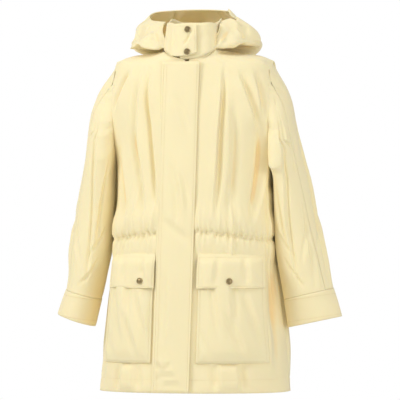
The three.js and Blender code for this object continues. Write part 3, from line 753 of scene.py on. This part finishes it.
def hood_outward(co):
    """Outward from the middle of the rolled hood's ring."""
    centre = np.array([0.0, 0.02, 0.02])
    ring = co - centre
    level = np.linalg.norm(ring[:, :2], axis=1)
    middle = ring[:, :2] / np.maximum(level, 1e-6)[:, None] * 0.115
    away = np.column_stack([ring[:, :2] - middle, ring[:, 2]])
    return away / np.maximum(np.linalg.norm(away, axis=1), 1e-6)[:, None]


def hood_shape(co):
    """Creases running down over the roll on both sides, deeper on the left."""
    turn = np.arctan2(co[:, 0], co[:, 1])
    flat = np.column_stack([turn * 0.13, co[:, 2]])
    height = np.zeros(len(co))
    for side in (-1, 1):
        for line, width, depth in (
            ([(0.05, 0.10), (0.09, 0.05), (0.11, 0.0)], 0.010, 0.0100),
            ([(0.12, 0.09), (0.16, 0.05), (0.18, -0.01)], 0.009, 0.0110),
            ([(0.19, 0.07), (0.22, 0.035), (0.25, -0.01)], 0.008, 0.0100),
            ([(0.24, 0.05), (0.28, 0.03), (0.31, -0.01)], 0.007, 0.0080),
            ([(0.16, 0.00), (0.22, -0.005), (0.27, 0.012)], 0.007, -0.0080),
            ([(0.02, 0.06), (0.06, 0.02), (0.10, -0.04)], 0.011, 0.0080),
        ):
            bent = [(side * a, b) for a, b in line]
            height += fold(flat, bent, width, depth * (1.15 if side > 0 else 0.9))
    lumps = noise_field(co, 0.055, 5.9)
    return height + 5.0 * MM * lumps


def neck_seam():
    """The hood's seam round the neck: its distance and height by the turn from the back, in degrees."""
    co = np.concatenate([coordinates(NODES[node].data) for node in NODES if node.startswith("hood_")])
    turn = np.degrees(np.arctan2(np.abs(co[:, 0]), co[:, 1]))
    level = np.linalg.norm(co[:, :2], axis=1)
    ticks = np.arange(6, 141, 9.0)
    seam = []
    for tick in ticks:
        near = np.flatnonzero(np.abs(turn - tick) < 5)
        closest = near[np.argmin(level[near])]
        seam.append((level[closest], co[closest, 2]))
    seam = np.array(seam)
    return lambda at: (np.interp(at, ticks, seam[:, 0]), np.interp(at, ticks, seam[:, 1]))


SEAM_AT = neck_seam()
# How far the rolls are drawn in onto the collar, how far the hood leans to the wearer's right, and how
# far the right roll spreads.
ROLL_TUCK = 0.036
HOOD_LEAN = 0.022
RIGHT_ROLL_SPREAD = 0.016


def hood_refit(co):
    """The rolls' rims rest on the collar, and their front ends narrow down into the neck seam."""
    turn = np.degrees(np.arctan2(np.abs(co[:, 0]), co[:, 1]))
    level = np.linalg.norm(co[:, :2], axis=1)
    seam_level, seam_z = SEAM_AT(turn)
    rim = smoothstep(76, 112, turn) * smoothstep(-0.006, 0.026, co[:, 2])
    rim = rim * smoothstep(0.0, 0.016, level - seam_level)
    wanted = level - ROLL_TUCK * rim
    height = co[:, 2] + 0.016 * rim
    narrow = 0.92 * smoothstep(112, 143, turn)
    wanted = wanted + (seam_level + 1.0 * MM - wanted) * narrow
    height = height + (seam_z - height) * narrow * 0.8
    moved = co.copy()
    moved[:, :2] *= (np.maximum(wanted, seam_level) / level)[:, None]
    moved[:, 2] = height
    free = smoothstep(0.0, 0.030, level - seam_level)
    back = smoothstep(0.0, 0.060, co[:, 1]) * smoothstep(0.010, 0.060, co[:, 2])
    moved[:, 0] -= free * back * (HOOD_LEAN + 0.30 * np.clip(co[:, 0] - 0.08, 0, 0.1))
    low = (1 - smoothstep(-0.010, 0.030, co[:, 2])) * smoothstep(0.07, 0.11, -co[:, 0])
    moved[:, 0] -= RIGHT_ROLL_SPREAD * free * low
    return moved


COLLAR_FRONT_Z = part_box("collar_stand")[0].z


def collar_refit(co):
    """The collar's top edge brought level round its front half."""
    turn = np.arctan2(co[:, 0] / 0.065, -co[:, 1] / 0.088)
    base = COLLAR_FRONT_Z * (1 - np.clip(np.abs(np.sin(turn)), 0, 1) ** 2.2)
    share = np.clip((co[:, 2] - base) / 0.082, 0, 1)
    level = 1 - smoothstep(math.radians(55), math.radians(115), np.abs(turn))
    moved = co.copy()
    moved[:, 2] -= share * (base - COLLAR_FRONT_Z) * level
    return moved


collar = cloth_piece("collar_stand", SHELL, levels=2, shape=collar_shape, wrinkle=0.5, seam_width=0.008,
                     refit=collar_refit)
tab = cloth_piece("collar_tab", SHELL, levels=3, shape=tab_shape, wrinkle=0.4, seam_width=0.004,
                  refit=collar_refit)
hood = {}
for node in ("hood_left_roll", "hood_left_side", "hood_centre", "hood_right_side", "hood_right_roll"):
    hood[node] = cloth_piece(node, SHELL, levels=3, shape=hood_shape, direction=hood_outward,
                             wrinkle=1.0, seam_width=0.008, refit=hood_refit)

# ---------------------------------------------------------------- sleeves


def sleeve_shape(side, seed):
    """Long creases down a sleeve and slanting ones at the elbow."""
    def shape(co):
        spine = outward(co, 1.0)
        turn = np.arctan2(spine[:, 0] * side, -spine[:, 1])
        flat = np.column_stack([turn * 0.055, co[:, 2]])
        height = np.zeros(len(co))
        for line, width, depth in (
            ([(0.075, -0.12), (0.074, -0.22), (0.070, -0.36), (0.060, -0.58)], 0.0070, 0.0070),
            ([(0.030, -0.14), (0.020, -0.24), (0.000, -0.36), (-0.010, -0.56)], 0.0090, -0.0062),
            ([(-0.055, -0.24), (-0.035, -0.34), (-0.030, -0.46)], 0.0080, 0.0055),
            ([(-0.075, -0.400), (-0.035, -0.445), (0.010, -0.475)], 0.0070, 0.0030),
            ([(-0.060, -0.470), (-0.015, -0.515), (0.030, -0.540)], 0.0070, 0.0028),
            ([(0.095, -0.35), (0.060, -0.42), (0.020, -0.50)], 0.0075, 0.0032),
            ([(0.130, -0.12), (0.135, -0.33), (0.125, -0.52)], 0.0100, 0.0080),
        ):
            height += fold(flat, line, width, depth)
        ripple = noise_field(co * np.array([1.0, 1.0, 0.6]), 0.05, seed)
        return height + 2.6 * MM * ripple
    return shape


def cuff_outward(co):
    """Straight out from the arm's own line."""
    return outward(co, 1.0)


ARMHOLE_MIDDLE_Z = (SHOULDER_Z + ARMPIT_Z) / 2


def around_armhole(co):
    """Angle and distance of each point about the middle of the armhole, in the armhole's plane."""
    y, z = co[:, 1], co[:, 2] - ARMHOLE_MIDDLE_Z
    return np.arctan2(y, z), np.hypot(y, z)


def rim_radius(co, side):
    """The outer outline of a cloth edge in the armhole's plane, as a function of the angle."""
    co = co[(np.abs(co[:, 0] * side - ARMHOLE_X) < 2.2 * MM) & (co[:, 2] > ARMPIT_Z - 0.004)]
    angle, radius = around_armhole(co)
    ticks = np.linspace(-math.pi, math.pi, 61)
    outline = []
    for tick in ticks:
        apart = np.abs(np.angle(np.exp(1j * (angle - tick))))
        near = apart < math.radians(6)
        outline.append(radius[near].max() if near.any() else np.nan)
    outline = np.array(outline)
    known = ~np.isnan(outline)
    return lambda at: np.interp(at, ticks[known], outline[known])


# How far the top of each sleeve stands out past its CAD sheet, from the elbow up to the head.
SLEEVE_HEAD = {"right": (0.006, 0.024, 0.040), "left": (0.006, 0.009, 0.026)}


def armhole_refit(side, name):
    """The head of a sleeve drawn onto the armhole's edge, and tucked just under it."""
    panels = np.concatenate([coordinates(body_pieces[f"{part}_{name}"].data)
                             for part in ("front", "back")])
    body = rim_radius(panels, side)
    sleeve = SLEEVE_RIM[name]

    def refit(co):
        angle, _ = around_armhole(co)
        close = 1 - smoothstep(0.0, 0.055, co[:, 0] * side - ARMHOLE_X)
        close *= smoothstep(ARMPIT_Z - 0.080, ARMPIT_Z + 0.005, co[:, 2])
        wanted = (body(angle) - 0.4 * MM) / sleeve(angle)
        factor = 1 + (np.clip(wanted, 0.7, 1.4) - 1) * close
        moved = co.copy()
        moved[:, 1] = co[:, 1] * factor
        moved[:, 2] = ARMHOLE_MIDDLE_Z + (co[:, 2] - ARMHOLE_MIDDLE_Z) * factor
        moved[:, 0] = co[:, 0] - side * 5.0 * MM * close
        head = smoothstep(0.0, 0.040, co[:, 0] * side - ARMHOLE_X)
        head = head * smoothstep(-0.42, -0.08, co[:, 2])
        moved[:, 0] += side * head * np.interp(co[:, 2], (-0.42, -0.16, -0.06), SLEEVE_HEAD[name])
        moved[:, 2] += shoulder_lift(co) * (1 - close)
        return moved
    return refit


SLEEVE_RIM = {
    name: rim_radius(np.concatenate([coordinates(NODES[f"sleeve_{name}_{part}"].data)
                                     for part in ("front", "back")]), side)
    for side, name in SIDES
}
sleeve_pieces = {"left": [], "right": []}
for side, name in SIDES:
    for part, levels in ((f"sleeve_{name}_front", 4), (f"sleeve_{name}_back", 3)):
        piece = cloth_piece(part, SHELL, levels=levels, shape=sleeve_shape(side, 6.0 + side),
                            direction=cuff_outward, wrinkle=1.0, seam_width=0.012,
                            refit=armhole_refit(side, name))
        sleeve_pieces[name].append(piece)
    cuff = cloth_piece(f"cuff_{name}", SHELL, levels=3, direction=cuff_outward, wrinkle=0.9,
                       seam_width=0.006)
    sleeve_pieces[name].append(cuff)

# ---------------------------------------------------------------- inside the coat

LINING_DROP = 3.5 * MM
SLEEVE_LINING_DROP = 7.5 * MM


def inner(shape, drop=LINING_DROP):
    """The shape of a lining: the same folds as the cloth over it, a little further in."""
    return lambda co: shape(co) - drop


inside = []
for side, name in SIDES:
    front_folds = LEFT_FRONT_FOLDS if side > 0 else RIGHT_FRONT_FOLDS
    inside.append(cloth_piece(f"front_{name}_lining", LINING, 3, inner(body_shape(
        front_folds, 5 + side)), refit=body_refit))
    inside.append(cloth_piece(f"back_{name}_lining", LINING, 3, inner(body_shape(
        BACK_FOLDS, 11 + side, mirror=side)), refit=body_refit))
    inside.append(cloth_piece(f"front_{name}_facing", SHELL, 2, wrinkle=0.3))
    inside.append(cloth_piece(f"zip_tape_{name}", TAPE, 2, wrinkle=0.0))
    sleeve_pieces[name].append(cloth_piece(
        f"sleeve_{name}_lining", LINING, 3,
        inner(sleeve_shape(side, 6.0 + side), SLEEVE_LINING_DROP), direction=cuff_outward))
inside.append(cloth_piece("waist_casing", LINING, 2, wrinkle=0.2))
inside.append(cloth_piece("waist_elastic", ELASTIC, 2, wrinkle=0.2))
inside.append(cloth_piece("neck_label", LABEL, 3, wrinkle=0.1))
inside.append(cloth_piece("hanger_loop", SHELL, 2, wrinkle=0.0))

# ---------------------------------------------------------------- stitching

STITCH = (2.4 * MM, 0.55 * MM, 0.4 * MM)
STITCH_PITCH = 3.2 * MM


def stitch_row(bm, tree, line, towards):
    """Stitches along a bent guide line, each laid on the cloth that lies in the given direction."""
    line = [Vector(point) for point in line]
    spots = []
    for start, end in zip(line[:-1], line[1:]):
        count = max(1, round((end - start).length / STITCH_PITCH))
        spots += [start.lerp(end, k / count) for k in range(count)]
    hits = []
    for spot in spots:
        ray = Vector(towards(spot)) if callable(towards) else Vector(towards)
        place, normal, _, _ = tree.ray_cast(spot - ray * 0.25, ray)
        hits.append(None if place is None else (place, normal if normal.dot(ray) < 0 else -normal))
    for here, after in zip(hits[:-1], hits[1:]):
        if here is None or after is None or (after[0] - here[0]).length > 3 * STITCH_PITCH:
            continue
        along = (after[0] - here[0]).normalized()
        up = here[1]
        side = up.cross(along).normalized()
        up = along.cross(side)
        turn = Matrix((along, side, up)).transposed().to_4x4()
        scale = Matrix.Diagonal((*STITCH, 1.0))
        middle = here[0].lerp(after[0], 0.5) + up * (0.1 * MM)
        bmesh.ops.create_cube(bm, size=1.0, matrix=Matrix.Translation(middle) @ turn @ scale)


def stitching(name, rows):
    """One piece of thread work: rows of (surface, guide line, direction)."""
    bm = bmesh.new()
    for tree, line, towards in rows:
        stitch_row(bm, tree, line, towards)
    mesh = bpy.data.meshes.new(name)
    bm.to_mesh(mesh)
    bm.free()
    return finish_cloth(name, mesh, THREAD)


def slice_x(piece, z, reach=0.005):
    """The lowest and highest X of a piece at a height."""
    co = coordinates(piece.data)
    here = co[np.abs(co[:, 2] - z) < reach]
    return here[:, 0].min(), here[:, 0].max()


def level_row(piece, z, inset, count=14):
    """A row of stitches across a piece at one height."""
    left, right = slice_x(piece, z)
    return [(x, 0.0, z) for x in np.linspace(left + inset, right - inset, count)]


def edge_row(piece, low, high, inset, leftmost, count=14):
    """A row of stitches along one side of a piece."""
    row = []
    for z in np.linspace(low, high, count):
        left, right = slice_x(piece, z, 0.008)
        row.append((left + inset if leftmost else right - inset, 0.0, z))
    return row


BACKWARD, FORWARD = (0.0, 1.0, 0.0), (0.0, -1.0, 0.0)
stitch_pieces = {}
tree = surface_of(placket)
low_z, high_z = HEM_Z + 0.004, NECK_Z - 0.004
stitch_pieces["placket"] = stitching("placket_stitching", [
    (tree, edge_row(placket, low_z, high_z, 0.005, True, 40), BACKWARD),
    (tree, edge_row(placket, low_z, high_z, 0.005, False, 40), BACKWARD),
    (tree, edge_row(placket, low_z, high_z, 0.012, True, 40), BACKWARD),
    (tree, level_row(placket, HEM_Z + 0.006, 0.006), BACKWARD),
])
for side, name in SIDES:
    flap, pocket = flaps[name], pockets[name]
    tree = surface_of(flap)
    flap_co = coordinates(flap.data)
    low, high = Vector(flap_co.min(0)), Vector(flap_co.max(0))
    rows = [(tree, level_row(flap, low.z + 0.005, 0.005), BACKWARD),
            (tree, level_row(flap, high.z - 0.008, 0.005), BACKWARD)]
    for leftmost in (True, False):
        rows.append((tree, edge_row(flap, low.z + 0.005, high.z - 0.004, 0.005, leftmost), BACKWARD))
    stitch_pieces["flap_" + name] = stitching(f"flap_{name}_stitching", rows)
    tree = surface_of(pocket)
    low = Vector(coordinates(pocket.data).min(0))
    high = Vector(coordinates(pocket.data).max(0))
    rows = [(tree, level_row(pocket, low.z + 0.007, 0.006), BACKWARD)]
    for leftmost in (True, False):
        rows.append((tree, edge_row(pocket, low.z + 0.007, high.z - 0.004, 0.006, leftmost), BACKWARD))
    stitch_pieces["pocket_" + name] = stitching(f"pocket_{name}_stitching", rows)

front_tree = surface_of(body_pieces["front_right"], body_pieces["front_left"])
back_tree = surface_of(body_pieces["back_right"], body_pieces["back_left"])
hem_line = [(0.222 * math.sin(t), 0.0, HEM_Z + HEM_TURN_UP) for t in np.linspace(-1.25, 1.25, 50)]
front_rows = [(front_tree, hem_line, BACKWARD)]
back_rows = [(back_tree, hem_line, FORWARD)]
for z_shift in (-0.003, 0.004):
    waist_row = [(x, 0.0, waist_line(np.array([x]))[0] + z_shift) for x in np.linspace(-0.165, 0.165, 60)]
    front_rows.append((front_tree, [p for p in waist_row if p[0] < placket_low.x], BACKWARD))
    front_rows.append((front_tree, [p for p in waist_row if p[0] > placket_high.x * 0.7], BACKWARD))
    back_rows.append((back_tree, waist_row, FORWARD))
for shift in (-0.004, 0.004):
    back_rows.append((back_tree, [(shift, 0.0, z) for z in np.linspace(HEM_Z + 0.002, -0.02, 40)], FORWARD))
stitch_pieces["front"] = stitching("front_stitching", front_rows)
stitch_pieces["back"] = stitching("back_stitching", back_rows)

tree = surface_of(tab)
tab_low, tab_high = coordinates(tab.data).min(0), coordinates(tab.data).max(0)
tab_rows = [(tree, edge_row(tab, tab_low[2] + 0.014, tab_high[2] - 0.006, 0.005, False, 8), BACKWARD),
            (tree, level_row(tab, tab_high[2] - 0.006, 0.005, 8), BACKWARD)]
stitch_pieces["tab"] = stitching("tab_stitching", tab_rows)

for side, name in SIDES:
    cuff = sleeve_pieces[name][2]
    tree = surface_of(cuff)
    co = coordinates(cuff.data)
    centre = (co.max(axis=0) + co.min(axis=0)) / 2
    top, bottom = co[:, 2].max(), co[:, 2].min()
    axis = Vector((side * 0.16, 0.0, -1.0)).normalized()
    across = Vector((0.0, 1.0, 0.0)).cross(axis).normalized()
    rows = []
    for share in (-0.40, 0.36):
        middle = Vector(centre) + axis * (share * 0.062)
        ring = [middle + (across * math.cos(t) + Vector((0, 1, 0)) * math.sin(t)) * 0.1
                for t in np.linspace(0, 2 * math.pi, 60)]
        rows.append((tree, ring, lambda spot, middle=middle: (middle - spot).normalized()))
    stitch_pieces["cuff_" + name] = stitching(f"cuff_{name}_stitching", rows)

# ---------------------------------------------------------------- metal and plastic


def disc_axis(node):
    """Centre and outward normal of a round CAD part."""
    co = coordinates(NODES[node].data)
    centre = co.mean(axis=0)
    _, _, rows = np.linalg.svd(co - centre)
    normal = Vector(rows[2])
    return Vector(centre), (normal if normal.y < 0 else -normal)


def turned(name, profile, centre, normal, steps, material):
    """A turned part: a profile of (radius, height) spun about the normal through the centre."""
    bm = bmesh.new()
    chain = [bm.verts.new((radius, 0.0, height)) for radius, height in profile]
    edges = [bm.edges.new(pair) for pair in zip(chain[:-1], chain[1:])]
    bmesh.ops.spin(bm, geom=chain + edges, cent=(0, 0, 0), axis=(0, 0, 1), angle=2 * math.pi,
                   steps=steps, use_merge=True)
    bmesh.ops.remove_doubles(bm, verts=bm.verts, dist=1e-6)
    bmesh.ops.recalc_face_normals(bm, faces=bm.faces)
    turn = normal.to_track_quat("Z", "Y").to_matrix().to_4x4()
    bmesh.ops.transform(bm, matrix=Matrix.Translation(centre) @ turn, verts=bm.verts)
    mesh = bpy.data.meshes.new(name)
    bm.to_mesh(mesh)
    bm.free()
    return finish_cloth(name, mesh, material)


def snap_cap(node):
    """A domed snap cap with a raised rim and a ring groove."""
    centre, normal = disc_axis(node)
    radius = 7.4 * MM
    profile = [(0.0, -1.0), (radius / MM * 0.99, -1.0), (radius / MM, -0.6), (radius / MM, 0.2),
               (radius / MM * 0.96, 0.75), (radius / MM * 0.88, 1.0), (radius / MM * 0.80, 0.95),
               (radius / MM * 0.74, 0.5), (radius / MM * 0.66, 0.4), (radius / MM * 0.55, 0.55),
               (radius / MM * 0.35, 0.8), (radius / MM * 0.15, 0.92), (0.0, 0.94)]
    piece = turned(node + "_turned", [(r * MM, h * MM) for r, h in profile], centre, normal, 48, BRASS)
    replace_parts(piece, node)
    return piece


def snap_under(node, radius, bump):
    """The socket or stud under a snap cap."""
    centre, normal = disc_axis(node)
    profile = [(0.0, -0.45), (radius, -0.45), (radius, 0.1), (radius * 0.9, 0.35), (radius * 0.62, 0.35),
               (radius * 0.5, 0.1 + bump), (0.0, 0.15 + bump)]
    piece = turned(node + "_turned", [(r * MM, h * MM) for r, h in profile], centre, normal, 32, BRASS)
    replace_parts(piece, node)
    return piece


hard_pieces = []
for node in sorted(NODES):
    if node.endswith("_snap_cap"):
        hard_pieces.append((snap_cap(node), node))
    elif node.endswith("_snap_socket"):
        hard_pieces.append((snap_under(node, 4.8, 0.1), node))
    elif node.endswith("_snap_stud"):
        hard_pieces.append((snap_under(node, 4.3, 0.35), node))


def bevelled(node, material, width):
    """A hard CAD part with its edges rounded."""
    bm = bmesh.new()
    bm.from_mesh(NODES[node].data)
    bmesh.ops.remove_doubles(bm, verts=bm.verts, dist=0.01 * MM)
    bmesh.ops.dissolve_limit(bm, angle_limit=math.radians(2), verts=bm.verts, edges=bm.edges)
    sharp = [edge for edge in bm.edges if len(edge.link_faces) == 2 and edge.calc_face_angle() > 0.6]
    bmesh.ops.bevel(bm, geom=sharp, offset=width, segments=3, profile=0.5, affect="EDGES", material=-1)
    mesh = bpy.data.meshes.new(node)
    bm.to_mesh(mesh)
    bm.free()
    piece = finish_cloth(node + "_smooth", mesh, material)
    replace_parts(piece, node)
    return piece


for node in ("zip_slider", "zip_pull", "zip_retainer_box", "zip_top_stop_left", "zip_top_stop_right"):
    hard_pieces.append((bevelled(node, BRASS, 0.25 * MM), node))


def tooth_row(node, side):
    """The zip's teeth along one edge: a small block every other pitch, offset from the other row."""
    low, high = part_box(node)
    co = coordinates(NODES[node].data)
    top = co[co[:, 2] > high.z - 0.004].mean(axis=0)
    bottom = co[co[:, 2] < low.z + 0.004].mean(axis=0)
    top, bottom = Vector(top), Vector(bottom)
    pitch = 2.6 * MM
    count = int((top - bottom).length / pitch)
    along = (top - bottom).normalized()
    side_way = Vector((1.0, 0.0, 0.0))
    out = side_way.cross(along).normalized()
    turn = Matrix((out.cross(along), out, along)).transposed().to_4x4()
    bm = bmesh.new()
    for k in range(count):
        middle = bottom + along * (pitch * (k + (0.75 if side > 0 else 0.3)))
        size = Matrix.Diagonal((2.9 * MM, 2.0 * MM, 1.3 * MM, 1.0))
        bmesh.ops.create_cube(bm, size=1.0, matrix=Matrix.Translation(middle) @ turn @ size)
    cord_size = Matrix.Diagonal((0.9 * MM, 1.2 * MM, (top - bottom).length, 1.0))
    cord_place = Matrix.Translation(top.lerp(bottom, 0.5) + side_way * (side * 0.9 * MM))
    bmesh.ops.create_cube(bm, size=1.0, matrix=cord_place @ turn @ cord_size)
    mesh = bpy.data.meshes.new(node)
    bm.to_mesh(mesh)
    bm.free()
    piece = finish_cloth(node + "_row", mesh, TEETH)
    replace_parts(piece, node)
    return piece


for side, name in SIDES:
    hard_pieces.append((tooth_row(f"zip_teeth_{name}", side), f"zip_teeth_{name}"))

# ---------------------------------------------------------------- what moves with what


def shoulder_blend(piece):
    """Bakes a cloth piece's placement into its mesh; it is attached to no moving body."""
    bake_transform(piece)


def cut_level(piece, height):
    """Cuts a cloth piece in two at a height, with the shading unbroken; returns the new lower piece."""
    lower = collection_add(piece.copy())
    lower.data = piece.data.copy()
    lower.name = lower.data.name = piece.name.replace("_cloth", "_skirt_cloth")
    del lower["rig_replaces"]
    normals = [tuple(normal.vector) for normal in piece.data.vertex_normals]
    store = KDTree(len(normals))
    for index, vert in enumerate(piece.data.vertices):
        store.insert(vert.co, index)
    store.balance()
    for part, drop_above in ((piece, False), (lower, True)):
        bm = bmesh.new()
        bm.from_mesh(part.data)
        bmesh.ops.bisect_plane(bm, geom=bm.verts[:] + bm.edges[:] + bm.faces[:], plane_co=(0, 0, height),
                               plane_no=(0, 0, 1), clear_outer=drop_above, clear_inner=not drop_above)
        bm.to_mesh(part.data)
        bm.free()
        kept = [normals[store.find(vert.co)[1]] for vert in part.data.vertices]
        part.data.normals_split_custom_set_from_vertices(kept)
    return lower


BODY_OF = {node: body for body, members in frame["record"]["behaviour"]["bodies"].items()
           for node in members}

for piece in inside:
    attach(piece, "root")
for piece, node in hard_pieces:
    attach(piece, BODY_OF[node])
for side, name in SIDES:
    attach(pockets[name], "root")
    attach(flaps[name], "flap_" + name)
    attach(stitch_pieces["flap_" + name], "flap_" + name)
    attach(stitch_pieces["pocket_" + name], "root")
    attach(sleeve_pieces[name][2], "sleeve_" + name)
    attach(stitch_pieces["cuff_" + name], "sleeve_" + name)
    for piece in sleeve_pieces[name][:2] + sleeve_pieces[name][3:]:
        shoulder_blend(piece)
    for part in ("front_", "back_"):
        lower = cut_level(body_pieces[part + name], ARMPIT_Z)
        shoulder_blend(body_pieces[part + name])
        shoulder_blend(lower)
for node, piece in hood.items():
    if BODY_OF[node] == "hood":
        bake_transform(piece)
    else:
        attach(piece, "root")
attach(placket, "placket")
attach(stitch_pieces["placket"], "placket")
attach(collar, "root")
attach(tab, "collar_tab")
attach(stitch_pieces["tab"], "collar_tab")
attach(stitch_pieces["front"], "root")
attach(stitch_pieces["back"], "root")

# ---------------------------------------------------------------- floor, lights and camera


def plain_finish(name, colour):
    """A plain matt finish for the floor."""
    material = bpy.data.materials.new(name)
    material.use_nodes = True
    shader = material.node_tree.nodes["Principled BSDF"]
    shader.inputs["Base Color"].default_value = (*colour, 1.0)
    shader.inputs["Roughness"].default_value = 0.9
    return material


FLOOR_RADIUS = 2.6
FLOOR_Z = -1.0


def studio():
    """A wide round floor below the hem."""
    bm = bmesh.new()
    bmesh.ops.create_circle(bm, cap_ends=True, segments=96, radius=FLOOR_RADIUS,
                            matrix=Matrix.Translation((0, 0, FLOOR_Z)))
    mesh = bpy.data.meshes.new("studio_floor")
    bm.to_mesh(mesh)
    bm.free()
    mesh.materials.append(plain_finish("studio_white", (0.86, 0.86, 0.86)))
    collection_add(bpy.data.objects.new("studio_floor", mesh))


def white_room(strength):
    """A world that lights softly and looks white itself."""
    world = bpy.data.worlds.new("studio")
    world.use_nodes = True
    nodes, link = world.node_tree.nodes, world.node_tree.links.new
    soft = nodes["Background"]
    soft.inputs["Color"].default_value = (1.0, 1.0, 1.0, 1.0)
    soft.inputs["Strength"].default_value = strength
    seen = nodes.new("ShaderNodeBackground")
    path = nodes.new("ShaderNodeLightPath")
    mix = nodes.new("ShaderNodeMixShader")
    link(path.outputs["Is Camera Ray"], mix.inputs["Fac"])
    link(soft.outputs[0], mix.inputs[1])
    link(seen.outputs[0], mix.inputs[2])
    link(mix.outputs[0], nodes["World Output"].inputs["Surface"])
    seen.inputs["Color"].default_value = (1.0, 1.0, 1.0, 1.0)
    bpy.context.scene.world = world


def lamp(name, place, target, size, power):
    """A soft rectangular lamp aimed at a point."""
    light = bpy.data.lights.new(name, "AREA")
    light.shape = "RECTANGLE"
    light.size, light.size_y = size
    light.energy = power
    obj = collection_add(bpy.data.objects.new(name, light))
    obj.location = place
    obj.rotation_euler = (Vector(target) - Vector(place)).to_track_quat("-Z", "Y").to_euler()


MIDDLE = Vector((0.0, 0.0, (CAD_BOX[0][2] + CAD_BOX[1][2]) / 2))
studio()
lamp("key", (-2.4, -1.9, 1.3), MIDDLE, (0.9, 0.9), 46.0)
lamp("fill", (2.6, -2.2, 0.2), MIDDLE, (1.6, 1.6), 30.0)
lamp("top", (0.2, -1.0, 2.4), MIDDLE, (1.2, 1.2), 17.0)
lamp("back", (-0.6, 2.8, 1.0), MIDDLE, (1.6, 1.6), 26.0)
white_room(0.48)
bpy.context.scene.view_settings.view_transform = "Standard"

CAMERA_TURN = math.radians(12.0)
CAMERA_DISTANCE = 8.0
VIEW_WIDTH = 0.905
camera_data = bpy.data.cameras.new("camera")
camera_data.sensor_width = 36.0
camera_data.lens = 36.0 * CAMERA_DISTANCE / VIEW_WIDTH
camera = collection_add(bpy.data.objects.new("camera", camera_data))
aim = Vector((0.011, 0.0, -0.342))
away = Vector((math.sin(CAMERA_TURN), -math.cos(CAMERA_TURN), 0.0))
camera.location = aim + away * CAMERA_DISTANCE
camera.rotation_euler = (-away).to_track_quat("-Z", "Y").to_euler()
bpy.context.scene.camera = camera
